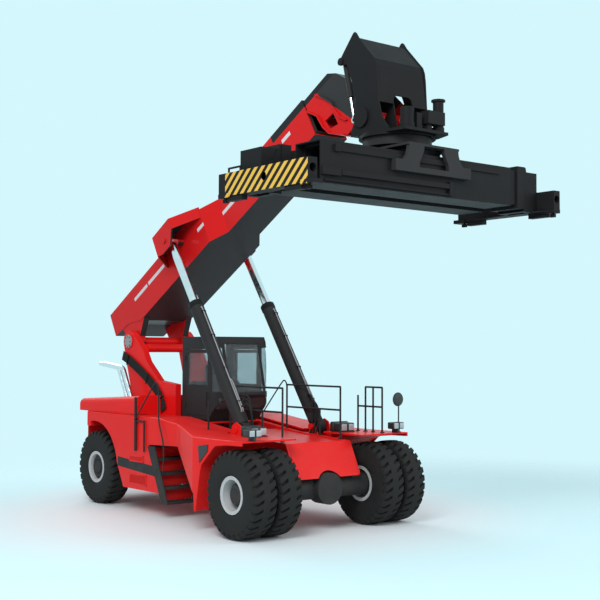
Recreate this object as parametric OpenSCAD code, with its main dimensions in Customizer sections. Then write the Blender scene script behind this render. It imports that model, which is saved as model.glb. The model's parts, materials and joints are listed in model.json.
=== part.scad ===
// Reach stacker for shipping containers: a four-corner machine with twin drive
// wheels in front, steered wheels behind, a two-stage boom and a 20 to 40 foot spreader.
// X runs forward, Y to the machine's left and Z up. The origin is on the floor under
// the middle of the drive axle. The boom is drawn at its parked angle.

/* [Wheels] */
// Distance from the drive axle to the steered axle
wheelbase = 6000; // [5600:50:6600]
// Outer radius of every tyre, to the tips of the lugs
tyre_r = 810; // [780:5:820]
// Width of one tyre
tyre_w = 500; // [440:10:510]
// Seat radius of every rim
rim_r = 330; // [300:5:340]
// Outer face of the outer drive tyre from the centre line
drive_half_w = 2080; // [2060:10:2120]
// Free space between the two drive tyres of a side
twin_gap = 75; // [50:5:100]
// Outer face of a steered tyre from the centre line
steer_half_w = 1580; // [1560:5:1620]
// Radius of the wheel arch over a steered wheel
arch_r = 1030; // [1000:5:1060]

/* [Frame] */
// Outer face of the frame's side plates from the centre line
frame_half_w = 800; // [780:5:820]
// Thickness of the frame's and the tower's side plates
frame_t = 140; // [100:5:160]
// Height of the deck beside the boom cylinders
deck_z = 1790; // [1760:5:1820]
// Height of the cab floor's underside
cab_floor_z = 1970; // [1960:5:2000]
// Half width of the body behind the steps
body_half_w = 1600; // [1590:5:1620]
// Rear face of the counterweight, behind the drive axle
rear_x = 7350; // [7300:10:7450]

/* [Boom] */
// Distance of the boom pivot behind the drive axle
pivot_back = 5900; // [5880:5:5920]
// Height of the boom pivot
pivot_z = 3620; // [3600:5:3640]
// Parked angle of the boom above level
boom_rest = 29.8; // [29.4:0.1:30.2]
// Underside of the boom above the pivot axis
boom_lo = 290; // [286:1:294]
// Top of the boom above the pivot axis
boom_hi = 1120; // [1110:1:1130]
// Half width of the boom behind its cylinder ears
boom_wide = 650; // [640:1:655]
// Half width of the boom in front of its cylinder ears
boom_slim = 400; // [396:1:410]
// Wall of the outer boom
boom_wall = 25; // [20:1:28]
// Mouth of the outer boom from the pivot
mouth_a = 7350; // [7330:5:7360]
// Space between the two boom stages, a side
stage_gap = 15; // [10:1:18]

/* [Lift cylinders] */
// Base pin of the lift cylinders behind the drive axle
lift_base_back = 1190; // [1180:5:1200]
// Height of the base pin of the lift cylinders
lift_base_z = 1880; // [1870:5:1890]
// Distance of a lift cylinder from the centre line
lift_y = 930; // [925:1:935]
// Outer radius of a lift cylinder's barrel
lift_barrel_r = 145; // [140:1:150]
// Radius of a lift cylinder's rod
lift_rod_r = 98; // [90:1:100]
// Length of a barrel from its base pin
lift_barrel_l = 3080; // [3060:5:3085]

/* [Head and spreader] */
// Head pin along the boom from the pivot
head_a = 8733; // [8725:1:8740]
// Head pin below the line through the boom pivot
head_drop = 446; // [440:1:452]
// Inner face of the head's side plates from the centre line
head_in = 570; // [568:1:576]
// Thickness of the head's side plates
head_t = 30; // [24:1:34]
// Slewing axis in front of the drive axle
slew_x = 2176; // [2172:1:2180]
// Radius of the head's slewing plate
slew_r = 690; // [680:1:695]
// Distance between the twist-locks across the spreader
lock_x = 2259; // [2250:1:2270]
// Distance between the twist-locks along the spreader, arms in
lock_y = 5853; // [5840:1:5860]
// Height of the tips of the twist-locks
lock_z = 5928; // [5920:1:5936]
// Height of a spreader tube
tube_h = 700; // [690:1:705]
// Wall of a spreader tube
tube_wall = 22; // [18:1:26]

/* [Hidden] */
$fn = 48;

red = "#c8201c";
grey = "#3b3d40";
black = "#1c1c1e";
pale = "#c9ccce";

slide_gap = 0.3;
axle_z = tyre_r;
steer_x = -wheelbase;
drive_in_y = drive_half_w - 1.5 * tyre_w - twin_gap;
drive_out_y = drive_half_w - tyre_w / 2;
steer_y = steer_half_w - tyre_w / 2;
frame_in = frame_half_w - frame_t;
pivot_x = -pivot_back;
lift_x = -lift_base_back;
kingpin_y = 1020;
tie_arm = 240;

// Draws an outline of the XZ plane as a plate from y0 to y1
module plate_xz(points, y0, y1) {
    translate([0, y1, 0]) rotate([90, 0, 0]) linear_extrude(y1 - y0) polygon(points);
}

// Draws its child on both sides of the centre line
module both_sides() {
    children();
    mirror([0, 1, 0]) children();
}

// A round bar between two points
module bar(p, q, r) {
    v = q - p;
    run = norm([v[0], v[1]]);
    translate(p) rotate([0, atan2(run, v[2]), atan2(v[1], v[0])]) cylinder(h = norm(v), r = r, $fn = 16);
}

// A cylinder along Y with its middle at y
module pin_y(x, y, z, r, length) {
    translate([x, y + length / 2, z]) rotate([90, 0, 0]) cylinder(h = length, r = r);
}

// A block from its lowest to its highest corner
module block(low, high) {
    translate(low) cube(high - low);
}

// A block in front of x (side 1) or mirrored behind it (side -1)
module block_x(x, side, low, high) {
    a = x + side * low[0];
    b = x + side * high[0];
    block([min(a, b), low[1], low[2]], [max(a, b), high[1], high[2]]);
}

// A plate across X from x0 to x1, its outline in Y and Z
module plate_yz(points, x0, x1) {
    translate([x0, 0, 0]) rotate([90, 0, 90]) linear_extrude(x1 - x0) polygon(points);
}

// Places what is drawn in the boom's own frame: X along the boom, Z square to it
module on_boom() {
    translate([pivot_x, 0, pivot_z]) rotate([0, -boom_rest, 0]) children();
}

// Wheels

// Lugs round one half of a tyre's tread
lug_count = 20;
// Height of a lug
lug_h = 42;
// Run of a lug's flank, in pitches
lug_flank = 0.08;
// How far a lug falls back from the middle of the tread to the shoulder, in pitches
lug_lag = 0.25;
// Widest place of a tyre's wall above its bead
wall_rise = 250;
lug_steps = 2 * lug_count;
// Rings of half a tyre: radius, place across in half widths, lag in pitches, 1 where lugs stand
tyre_half = [
    [rim_r / cos(90 / lug_count), 0.78, lug_lag, 0],
    [rim_r + wall_rise, 1, lug_lag, 0],
    [tyre_r - lug_h, 0.86, lug_lag, 1],
    [tyre_r - lug_h, 0.03, 0, 1]];
// Rings of the whole tyre from bead to bead: ring of the half, side
tyre_rings = [[0, 0], [1, 0], [2, 0], [3, 0], [3, 1], [2, 1], [1, 1], [0, 1]];

// Points of a ring, one a step, or the foot and the top of a lug's flank where lugs stand
function ring_points(q, side) = [for (k = [0 : lug_steps - 1]) for (m = [0 : q[3]])
    let (lean = (k + side) % 2 == 0 ? m - 1 : m)
    let (r = q[0] + (q[3] == 1 && lean == 0 ? lug_h : 0))
    let (a = (k / 2 + q[3] * lean * lug_flank + q[2]) * 360 / lug_count)
    [r * sin(a), (2 * side - 1) * q[1] * tyre_w / 2, -r * cos(a)]];
function ring_lugs(i) = tyre_half[tyre_rings[i][0]][3];
function ring_start(i) = i == 0 ? 0 : ring_start(i - 1) + lug_steps * (1 + ring_lugs(i - 1));
// Index of the point m of step k on ring i
function at_ring(i, k, m) = ring_start(i) + (k % lug_steps) * (1 + ring_lugs(i)) + m * ring_lugs(i);
// Triangles between two points a, b of each of two rings and the next step's points
function ring_faces(i, j, k) = [
    for (t = [[at_ring(i, k, 0), at_ring(i, k, 1), at_ring(j, k, 1)],
        [at_ring(i, k, 0), at_ring(j, k, 1), at_ring(j, k, 0)],
        [at_ring(i, k, 1), at_ring(i, k + 1, 0), at_ring(j, k + 1, 0)],
        [at_ring(i, k, 1), at_ring(j, k + 1, 0), at_ring(j, k, 1)]])
    if (t[0] != t[1] && t[1] != t[2]) t];

// One tyre about the Y axis at the origin, its lug tips at tyre_r and one of them straight down
module tyre() {
    last = len(tyre_rings) - 1;
    polyhedron([for (q = tyre_rings) each ring_points(tyre_half[q[0]], q[1])],
        [for (i = [0 : last]) for (k = [0 : lug_steps - 1]) each ring_faces(i, i == last ? 0 : i + 1, k)]);
}

// One rim about the Y axis, its dish open towards +Y
module rim(hub_out) {
    h = tyre_w / 2;
    rotate([-90, 0, 0]) rotate_extrude($fn = 72)
        polygon([[0, -60], [rim_r - 70, -60], [rim_r - 45, -h * 0.85], [rim_r + 18, -h * 0.89],
            [rim_r + 18, -h * 0.835], [rim_r - 0.3, -h * 0.783], [rim_r - 0.3, h * 0.783],
            [rim_r + 18, h * 0.835], [rim_r + 18, h * 0.89], [rim_r - 45, h * 0.87], [rim_r - 60, 20],
            [200, 20], [190, hub_out - 40], [150, hub_out], [0, hub_out]]);
}

module drive_tyres() {
    for (y = [drive_in_y, drive_out_y])
        translate([0, y, axle_z]) tyre();
}

hub_in = 30;
module drive_rims() {
    color(pale) {
        translate([0, drive_out_y, axle_z]) rim(150);
        translate([0, drive_in_y, axle_z]) mirror([0, 1, 0]) rim(hub_in);
        translate([0, drive_in_y - hub_in, axle_z]) rotate([-90, 0, 0])
            cylinder(h = drive_out_y - drive_in_y - 30, r = 240);
    }
}

module drive_tyres_left() { color(black) drive_tyres(); }
module drive_tyres_right() { color(black) mirror([0, 1, 0]) drive_tyres(); }
module drive_rims_left() { drive_rims(); }
module drive_rims_right() { mirror([0, 1, 0]) drive_rims(); }

module steer_tyre_left() { color(black) translate([steer_x, steer_y, axle_z]) tyre(); }
module steer_tyre_right() { color(black) translate([steer_x, -steer_y, axle_z]) tyre(); }

spindle_r = 70;
spindle_out = 60;
module steer_rim() {
    color(pale) translate([steer_x, steer_y, axle_z]) difference() {
        rim(140);
        translate([0, spindle_out + slide_gap, 0]) rotate([90, 0, 0]) cylinder(h = tyre_w, r = spindle_r + slide_gap);
    }
}
module steer_rim_left() { steer_rim(); }
module steer_rim_right() { mirror([0, 1, 0]) steer_rim(); }

// Axles

module drive_axle() {
    color(grey) {
        translate([0, 0, axle_z]) rotate([90, 0, 0]) cylinder(h = 2 * (drive_in_y - 115), r = 215, center = true);
        translate([0, 0, axle_z]) rotate([0, 90, 0]) cylinder(h = 330, r = 300);
        translate([-300, 0, axle_z]) rotate([0, 90, 0]) cylinder(h = 300, r1 = 190, r2 = 300, $fn = 48);
        both_sides() block([-200, frame_in, axle_z + 150], [200, frame_half_w - 5, frame_low_z]);
        pin_y(0, 0, axle_z, 150, 2 * (drive_in_y - hub_in - slide_gap));
    }
}

beam_in = kingpin_y - 150;
ram_ahead = 330;
arm_t = 40;
kingpin_low = axle_z - 192;
arm_z = kingpin_low - 3 - arm_t;
ram_z = arm_z + 65;
rod_r = 42;
link_t = 60;
module steer_axle() {
    color(grey) {
        difference() {
            translate([0, 0, axle_z - 120]) linear_extrude(240)
                polygon([[steer_x - 190, -650], [steer_x - 120, -beam_in], [steer_x + 120, -beam_in],
                    [steer_x + 190, -650], [steer_x + 190, 650], [steer_x + 120, beam_in],
                    [steer_x - 120, beam_in], [steer_x - 190, 650]]);
            both_sides() translate([steer_x, kingpin_y, axle_z - 300]) cylinder(h = 600, r = 165);
        }
        both_sides() for (z = [axle_z - 190, axle_z + 120])
            difference() {
                union() {
                    translate([steer_x, kingpin_y, z]) cylinder(h = 70, r = 110);
                    block([steer_x - 100, kingpin_y - 330, z], [steer_x + 100, kingpin_y, z + 70]);
                }
                translate([steer_x, kingpin_y, z - 10]) cylinder(h = 90, r = 55.5);
            }
        block([steer_x - 240, -170, axle_z + 120], [steer_x + 240, 170, axle_z + 330]);
        difference() {
            pin_y(steer_x + ram_ahead, 0, ram_z, 85, 660);
            pin_y(steer_x + ram_ahead, 0, ram_z, rod_r + slide_gap, 700);
        }
        block([steer_x + 185, -220, ram_z - 40], [steer_x + ram_ahead - 70, 220, axle_z + 115]);
    }
}

// Steered knuckle: kingpin, spindle and the arm that the track link pulls
module steer_knuckle() {
    arm = [steer_x + 220, kingpin_y - 60];
    color(grey) {
        translate([steer_x, kingpin_y, arm_z]) cylinder(h = axle_z + 192 - arm_z, r = 55);
        translate([steer_x, kingpin_y, axle_z - 115]) cylinder(h = 230, r = 95);
        translate([steer_x, kingpin_y, axle_z]) rotate([-90, 0, 0]) cylinder(h = steer_y - kingpin_y + spindle_out, r = spindle_r);
        translate([0, 0, arm_z]) linear_extrude(arm_t)
            polygon([[steer_x, kingpin_y - 70], [arm[0] - 20, arm[1] - 55], [arm[0] + 40, arm[1] + 40],
                [steer_x + 60, kingpin_y + 70]]);
        translate([arm[0], arm[1], arm_z]) cylinder(h = arm_t, r = 60);
        translate([arm[0], arm[1], arm_z - link_t]) cylinder(h = arm_t + link_t, r = 25);
    }
}
module steer_knuckle_left() { steer_knuckle(); }
module steer_knuckle_right() { mirror([0, 1, 0]) steer_knuckle(); }

rod_end_y = 630;
module steering_rod() {
    color(pale) {
        pin_y(steer_x + ram_ahead, 0, ram_z, rod_r, 2 * rod_end_y);
    }
}

module track_link() {
    arm = [steer_x + 220, kingpin_y - 60];
    eye = [steer_x + ram_ahead, rod_end_y];
    z = arm_z - slide_gap - link_t;
    color(grey) difference() {
        union() {
            for (p = [arm, eye]) translate([p[0], p[1], z]) cylinder(h = link_t, r = 50);
            bar([arm[0], arm[1], z + link_t / 2], [eye[0], eye[1], z + link_t / 2], 26);
        }
        for (p = [arm, eye]) translate([p[0], p[1], z - 10]) cylinder(h = link_t + 20, r = 25.3);
    }
}
module track_link_left() { track_link(); }
module track_link_right() { mirror([0, 1, 0]) track_link(); }

// Frame, body and deck

tower_pin_r = 100;
frame_low_z = 1040;
module main_frame() {
    head = [pivot_x, pivot_z];
    color(red) {
        difference() {
            both_sides() union() {
                plate_xz([[280, frame_low_z], [-30, 1670], [-1600, 1760], [-3000, cab_floor_z - 40], [-3900, cab_floor_z - 40],
                    [-3900, 2690], [-4580, 2760], [-5110, 3170], [-5310, 3470], [-5740, 3810], [-6140, 3560],
                    [-6050, 3250], [-5730, 2360], [-5660, 1900], [-6190, 1900], [-6190, 1700], [-5060, 1700],
                    [-4940, 1300], [-4940, 950], [-420, 950], [-300, frame_low_z]], frame_in, frame_half_w);
                pin_y(head[0], frame_in + frame_t / 2, head[1], 250, frame_t);
            }
            translate([-500, 0, axle_z]) rotate([0, 90, 0]) cylinder(h = 1200, r = 340);
        }
        difference() {
            plate_xz([[-30, 1670], [310, 1020], [280, 1020], [-60, 1670]], 50 - frame_half_w, frame_half_w - 50);
            translate([-100, 0, axle_z]) rotate([0, 90, 0]) cylinder(h = 500, r = 340);
        }
        pin_y(-5350, 0, 3470, 95, 2 * frame_in);
        pin_y(head[0], 0, head[1], tower_pin_r, 2 * frame_half_w + 10);
        both_sides() pin_y(head[0], frame_half_w + 15, head[1], 150, 30);
        plate_xz([[-60, 1600], [-60, 1640], [-2250, 1780], [-2250, 1740]], -frame_in, frame_in);
        block([-4940, -frame_in, 950], [-420, frame_in, 970]);
        block([-weight_front, -330, 1140], [-4940, 330, 1660]);
        block([-6200, -frame_in, 1700], [-5660, frame_in, 1730]);
        block([-4960, -frame_in, 1140], [-4920, frame_in, 1930]);
        block([-3880, -frame_in, cab_floor_z - 70], [-2850, frame_in, cab_floor_z - 40]);
    }
    color(red) lift_brackets();
}

// Brackets beside the frame that hold the lift cylinders' base pins
module lift_brackets() {
    both_sides() {
        difference() {
            union() {
                plate_xz([[lift_x - 260, 1600], [lift_x - 130, lift_base_z + 90], [lift_x, lift_base_z + 150],
                    [lift_x + 130, lift_base_z + 90], [lift_x + 260, 1600]], lift_y + 160, lift_y + 190);
                pin_y(lift_x, lift_y, lift_base_z, 60, 2 * (lift_y - frame_half_w) + 160);
            }
        }
        block([lift_x - 260, frame_half_w - 10, 1560], [lift_x + 260, lift_y + 190, 1600]);
        plate_xz([[lift_x - 200, 1600], [lift_x - 65, lift_base_z + 45], [lift_x, lift_base_z + 70],
            [lift_x + 65, lift_base_z + 45], [lift_x + 200, 1600]], frame_half_w - 5, frame_half_w + 20);
    }
}

tow_r = 40;
weight_front = 6975;
module counterweight() {
    color(red) difference() {
        union() {
            translate([0, 0, 750]) linear_extrude(1280)
                polygon([[-weight_front, -1250], [-rear_x, -1020], [-rear_x, 1020], [-weight_front, 1250]]);
            translate([0, 0, 1720]) linear_extrude(310)
                polygon([[-6200, -body_half_w], [-6350, -body_half_w], [-rear_x, -1020], [-rear_x, 1020],
                    [-6350, body_half_w], [-6200, body_half_w]]);
        }
        translate([-rear_x - 20, 0, 1000]) rotate([0, 90, 0]) cylinder(h = 220, r = tow_r);
    }
}

module engine_block() { color(grey) block([-4915, -500, 970], [-3950, 500, 1900]); }

arch_z = axle_z;
panel_t = 50;
module body_panels() {
    color(red) both_sides() {
        difference() {
            plate_xz([[-6200, 1500], [-6200, 2030], [-3650, 2030], [-3650, 1400], [-3640, 1360], [-3245, 490],
                [-4700, 490], [-5100, 1200]], body_half_w - panel_t, body_half_w);
            translate([steer_x, body_half_w + 10, arch_z]) rotate([90, 0, 0]) cylinder(h = 400, r = arch_r);
        }
        difference() {
            block([-6200, frame_half_w, 1990], [-3650, body_half_w - panel_t, 2030]);
            block([-6300, frame_half_w - 10, 1900], [-5000, 1000, 2100]);
        }
        block([-3680, frame_half_w, 1450], [-3650, body_half_w - panel_t, 1990]);
        block([-3680, frame_half_w, 500], [-3650, body_half_w - panel_t, 1380]);
        block([-4880, frame_half_w, 1010], [-4840, body_half_w - panel_t, 1990]);
        block([-4700, frame_half_w, 500], [-3680, body_half_w - panel_t, 540]);
    }
}

deck_t = 30;
guard = [[-1210, 410], [-1030, 1280], [-550, 1670], [-150, 1790], [300, 1790]];
guard_in = [[35, 0], [33, -14], [14, -27], [4, -deck_t], [0, -deck_t]];
module mudguards() {
    outer = 2050;
    color(red) both_sides() {
        plate_xz(concat(guard, [for (i = [len(guard) - 1 : -1 : 0]) guard[i] + guard_in[i]]), 850, outer);
        plate_xz([guard[3], guard[4], guard[4] + guard_in[4], guard[3] + guard_in[3]], frame_half_w, 850);
        plate_xz([[-1240, 380], [-1240, 1240], [-1500, 1790], [-550, 1790], [-550, 1670], [-1030, 1280], [-1210, 410]],
            outer - 30, outer);
        difference() {
            block([-2700, frame_half_w, deck_z - deck_t], [-100, outer, deck_z]);
            block([lift_x - 330, frame_half_w - 10, deck_z - 100], [lift_x + 330, lift_y + 190, deck_z + 10]);
        }
        plate_xz([[-2700, 1790], [-2400, 1790], [-2200, 900], [-2500, 900]], body_half_w - 60, body_half_w);
        block([-2700, frame_half_w, 1700], [-2670, body_half_w, 1790]);
    }
}

steps_in = frame_half_w + 40;
module access_steps() {
    color(grey) both_sides() {
        for (y = [body_half_w + 5, steps_in])
            plate_xz([[-3600, 1430], [-3440, 1430], [-2950, 310], [-3110, 310]], y, y + 25);
        for (i = [0 : 3])
            block([-3150 - 125 * i, steps_in + 25, 320 + 285 * i], [-2900 - 125 * i, body_half_w + 5, 345 + 285 * i]);
        block([-3650, steps_in, 1405], [-3440, body_half_w + 30, 1430]);
    }
}

rail_r = 19;
inner_rail_y = 720;
module deck_rails() {
    color(grey) {
        both_sides() {
            bar([-230, inner_rail_y, 1690], [-230, inner_rail_y, 2710], rail_r);
            bar([-870, inner_rail_y, 1725], [-870, inner_rail_y, 2250], rail_r);
            bar([-230, inner_rail_y, 2710], [-1960, inner_rail_y, 2710], rail_r);
            bar([-230, inner_rail_y, 2250], [-1960, inner_rail_y, 2250], rail_r);
            bar([-1960, inner_rail_y, 1806.3], [-1960, inner_rail_y, 2710], rail_r);
        }
        for (p = [[-590, 2520], [-360, 2690], [-130, 2690], [140, 2690]])
            bar([p[0], 1500, deck_z], [p[0], 1500, p[1]], rail_r);
        bar([-360, 1500, 2690], [140, 1500, 2690], rail_r);
        bar([-590, 1500, 2300], [140, 1500, 2300], rail_r);
    }
}

module stair_rails() {
    color(grey) both_sides() {
        bar([-4150, body_half_w + 30, 1300], [-4150, body_half_w + 30, 2430], 30);
        bar([-3800, body_half_w + 30, 1300], [-3800, body_half_w + 30, 1930], rail_r);
        bar([-4150, body_half_w + 30, 1930], [-3800, body_half_w + 30, 1930], rail_r);
        bar([-1880, 1300, deck_z], [-1880, 1300, 2440], rail_r);
    }
}

// Cab

cab_half_w = 650;
cab_wall = 50;
cab_rear_x = -3870;
cab_front_x = -2350;
cab_corner_r = 330;
cab_top_z = 3710;
module cab_form(inset) {
    w = cab_half_w - inset;
    r = cab_corner_r - inset;
    intersection() {
        plate_xz([[cab_rear_x + inset, cab_floor_z + inset], [-2860 - inset / 2, cab_floor_z + inset],
            [-2740 - inset / 2, 2120 + inset], [cab_front_x - inset, 2500 + inset / 3],
            [cab_front_x - 265 - inset, 3600 - inset], [cab_front_x - 330 - inset, cab_top_z - inset],
            [cab_rear_x + inset, cab_top_z - inset]], -w, w);
        translate([0, 0, cab_floor_z]) linear_extrude(cab_top_z - cab_floor_z) union() {
            translate([cab_rear_x + inset, -w]) square([cab_front_x - cab_rear_x - 2 * inset - r, 2 * w]);
            translate([cab_rear_x + inset, -w + r]) square([cab_front_x - cab_rear_x - 2 * inset, 2 * (w - r)]);
            for (s = [-1, 1]) translate([cab_front_x - inset - r, s * (w - r)]) circle(r = r);
        }
    }
}

door_rear_x = -3740;
door_front_x = -2830;
door_low_z = 2060;
door_high_z = 3440;
door_gap = 6;
module door_box(grow) {
    block([door_rear_x - grow, cab_half_w - cab_wall - 5, door_low_z - grow],
        [door_front_x + grow, cab_half_w + 5, door_high_z + grow]);
}

// Window openings of the fixed cab walls, smaller by trim for the panes
module cab_windows(trim) {
    block([-3000, -430 + trim, 2560 + trim], [-2300, 430 - trim, 3560 - trim]);
    block([-2790, -620 + trim, 2190 + trim], [-2400, 620 - trim, 2440 - trim]);
    block([cab_rear_x - 10, -480 + trim, 2750 + trim], [cab_rear_x + cab_wall + 10, 480 - trim, 3560 - trim]);
    both_sides() block([-2760 + trim, 470 + trim, 2560 + trim], [-2380, cab_half_w + 10, 3480 - trim]);
}

hinge_x = -3745;
hinge_y = 665;
hinge_r = 12;
hinge_z = [2200, 3200];
module cab_shell() {
    color(grey) {
        difference() {
            cab_form(0);
            cab_form(cab_wall);
            cab_windows(0);
            both_sides() door_box(door_gap);
        }
        block([-3840, -600, cab_floor_z - 40], [-2900, 600, cab_floor_z + 1]);
        both_sides() for (z = hinge_z) {
            translate([hinge_x, hinge_y, z]) cylinder(h = 60, r = hinge_r);
            block([hinge_x - 50, cab_half_w - 2, z], [hinge_x, hinge_y - 2, z + 60]);
        }
    }
}

pane_t = 8;
module cab_glazing() {
    color("#5c6a72") intersection() {
        difference() {
            cab_form(15);
            cab_form(15 + pane_t);
        }
        cab_windows(slide_gap);
    }
}

door_window = [[-3660, 2700], [-2900, 2700], [-2900, 3370], [-3660, 3370]];
module cab_door() {
    color(grey) {
        difference() {
            intersection() {
                difference() {
                    cab_form(0);
                    cab_form(40);
                }
                door_box(0);
            }
            plate_xz(door_window, cab_half_w - 60, cab_half_w + 10);
        }
        bar([-2900, cab_half_w + 30, 2250], [-2900, cab_half_w + 30, 2550], 12);
        for (z = hinge_z) {
            translate([hinge_x, hinge_y, z + 60 + slide_gap]) cylinder(h = 60, r = hinge_r);
            block([hinge_x, cab_half_w - 2, z + 60 + slide_gap], [hinge_x + 45, hinge_y - 2, z + 120]);
        }
        for (z = [2265, 2535]) bar([-2900, cab_half_w - 5, z], [-2900, cab_half_w + 30, z], 10);
    }
}
module cab_door_left() { cab_door(); }
module cab_door_right() { mirror([0, 1, 0]) cab_door(); }

module door_glass() {
    color("#5c6a72") difference() {
        block([-3660 + slide_gap, cab_half_w - 24, 2700 + slide_gap], [-2900 - slide_gap, cab_half_w - 16, 3370 - slide_gap]);
    }
}
module door_glass_left() { door_glass(); }
module door_glass_right() { mirror([0, 1, 0]) door_glass(); }

module operator_seat() {
    color(black) {
        block([-3560, -180, cab_floor_z + cab_wall], [-3200, 180, 2300]);
        block([-3620, -260, 2300], [-3080, 260, 2440]);
        plate_xz([[-3620, 2440], [-3720, 3180], [-3600, 3200], [-3480, 2440]], -240, 240);
    }
}

module cab_controls() {
    color(black) {
        block([-3010, -110, cab_floor_z + cab_wall], [-2910, 110, 2250]);
        bar([-2960, 0, 2200], [-2990, 0, 2690], 40);
        translate([-2990, 0, 2690]) rotate([0, -25, 0]) cylinder(h = 30, r = 190);
        block([-3420, -420, cab_floor_z + cab_wall], [-3120, -300, 2560]);
    }
}

// Hood and what stands on it

hood_rear_x = -7000;
hood_front_x = -4450;
hood_half_w = 1450;
hood_low_z = 2030.3;
hood_slope = -3;
hood_corner = 130;
flap_in = 1130;
pipe_x = [-5330, -5510];
pipe_y = 1050;
pipe_r = 55;
module hood_form(inset) {
    w = hood_half_w - inset;
    intersection() {
        translate([hood_front_x, 0, 2440]) rotate([0, hood_slope, 0]) rotate([90, 0, -90])
            translate([0, 0, -100]) linear_extrude(3000) union() {
                translate([-w, -700]) square([2 * w, 700 - hood_corner]);
                translate([-w + hood_corner, -700]) square([2 * (w - hood_corner), 700 - inset]);
                for (s = [-1, 1]) translate([s * (w - hood_corner), -hood_corner - inset / 2]) circle(r = hood_corner - inset / 2);
            }
        block([hood_rear_x + inset, -w, hood_low_z - 20], [hood_front_x - inset, w, 2600]);
        block([hood_rear_x - 10, -w, hood_low_z], [hood_front_x + 10, w, 2600]);
    }
}

module hood_shell() {
    difference() {
        hood_form(0);
        hood_form(30);
    }
}

module engine_hood() {
    color(red) difference() {
        intersection() {
            hood_shell();
            block([hood_rear_x - 10, -flap_in, 2000], [hood_front_x + 10, flap_in, 2700]);
        }
        both_sides() block([-6300, frame_in - 8, 2000], [hood_front_x + 20, frame_half_w + 8, 2700]);
        for (x = pipe_x) bar([x + 190, -pipe_y, 2002], [x - 400, -pipe_y, 3020], pipe_r + slide_gap);
    }
}

module hood_flap() {
    color(red) intersection() {
        hood_shell();
        block([hood_rear_x - 10, flap_in + slide_gap, hood_low_z + 6], [hood_front_x + 10, hood_half_w + 10, 2700]);
    }
}
module hood_flap_left() { hood_flap(); }
module hood_flap_right() { mirror([0, 1, 0]) hood_flap(); }

// A pipe in an XZ plane with one round bend at q, on a bend radius of turn_r
module bent_pipe(p, q, s, y, r, turn_r) {
    before = atan2(q[1] - p[1], q[0] - p[0]);
    after = atan2(s[1] - q[1], s[0] - q[0]);
    back = turn_r * tan((after - before) / 2);
    low = q - back * [cos(before), sin(before)];
    high = q + back * [cos(after), sin(after)];
    centre = low + turn_r * [-sin(before), cos(before)];
    bar([p[0], y, p[1]], [low[0], y, low[1]], r);
    translate([centre[0], y, centre[1]]) rotate([90, 0, 0]) rotate([0, 0, before - 90])
        rotate_extrude(angle = after - before) translate([turn_r, 0]) circle(r);
    bar([high[0], y, high[1]], [s[0], y, s[1]], r);
}

module exhaust_pipes() {
    color("#d8dadb") for (x = pipe_x)
        bent_pipe([x, 2330], [x - 400, 3020], [x - 1250, 3110], -pipe_y, pipe_r, 160);
}

module work_lamps() {
    color("#e8eaec") both_sides() for (x = [190, 310])
        translate([0, 0, 0]) {
            block([x - 40, 1770 - 55, 1870], [x + 40, 1770 + 55, 1990]);
        }
    color(grey) both_sides() block([150, 1750, deck_z], [350, 1790, 1870]);
}

module round_mirror() {
    color(grey) {
        bar([250, 1850, deck_z], [250, 1850, 2450], 18);
        translate([215, 1850, 2450]) rotate([0, 90, 0]) cylinder(h = 40, r = 140);
    }
}

hose_r = 17;
hose_route = [[-6150, 3330], [-5760, 3160], [-5220, 2880], [-4800, 2710], [-4430, 2500],
    [-4370, 2250], [-4370, 2031]];

// Unit direction of a route at point i, the mean of its two runs
function route_dir(p, i) =
    let (a = p[max(i - 1, 0)], b = p[min(i + 1, len(p) - 1)])
    (b - a) / norm(b - a);

// A tube swept along points that lie nearly in an XZ plane, with 8 sides
module hose(p, r) {
    sides = 8;
    n = len(p);
    rings = [for (i = [0 : n - 1], k = [0 : sides - 1])
        let (d = route_dir(p, i), u = cross(d, [0, 1, 0]) / norm(cross(d, [0, 1, 0])), v = cross(d, u),
            t = 360 * k / sides)
        p[i] + r * (cos(t) * u + sin(t) * v)];
    walls = [for (i = [0 : n - 2], k = [0 : sides - 1])
        let (a = i * sides + k, b = i * sides + (k + 1) % sides)
        [a, b, b + sides, a + sides]];
    ends = [[for (k = [sides - 1 : -1 : 0]) k], [for (k = [0 : sides - 1]) (n - 1) * sides + k]];
    polyhedron(points = rings, faces = concat(walls, ends));
}

// Points of a route rounded by Catmull-Rom pieces, steps to a run
function rounded(q, steps) = concat([for (i = [0 : len(q) - 2], k = [0 : steps - 1])
    let (a = q[max(i - 1, 0)], b = q[i], c = q[i + 1], d = q[min(i + 2, len(q) - 1)], t = k / steps)
    0.5 * ((2 * b) + (c - a) * t + (2 * a - 5 * b + 4 * c - d) * t * t + (3 * b - a - 3 * c + d) * t * t * t)],
    [q[len(q) - 1]]);

module tower_hoses() {
    color(black) for (i = [0 : 2])
        hose(rounded([for (q = hose_route) [q[0] + 40 * i, -(frame_half_w + 20 + 40 * i), q[1]]], 4), hose_r);
}

// Boom

slope_end = 470;
module boom_side(inset, front, tail) {
    plate_xz([[tail, 555 + inset], [-60, 500 + inset], [slope_end, boom_lo + inset], [front, boom_lo + inset],
        [front, boom_hi - inset], [tail, boom_hi - inset]], -boom_wide, boom_wide);
}

neck_a = 3670;
neck_l = 400;
boom_tail = -700;
module boom_plan(inset, front) {
    translate([0, 0, boom_lo - 100]) linear_extrude(boom_hi - boom_lo + 200)
        polygon([[boom_tail, boom_wide - inset], [neck_a, boom_wide - inset], [neck_a + neck_l, boom_slim - inset],
            [front, boom_slim - inset], [front, -boom_slim + inset], [neck_a + neck_l, -boom_slim + inset],
            [neck_a, -boom_wide + inset], [boom_tail, -boom_wide + inset]]);
}

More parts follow.
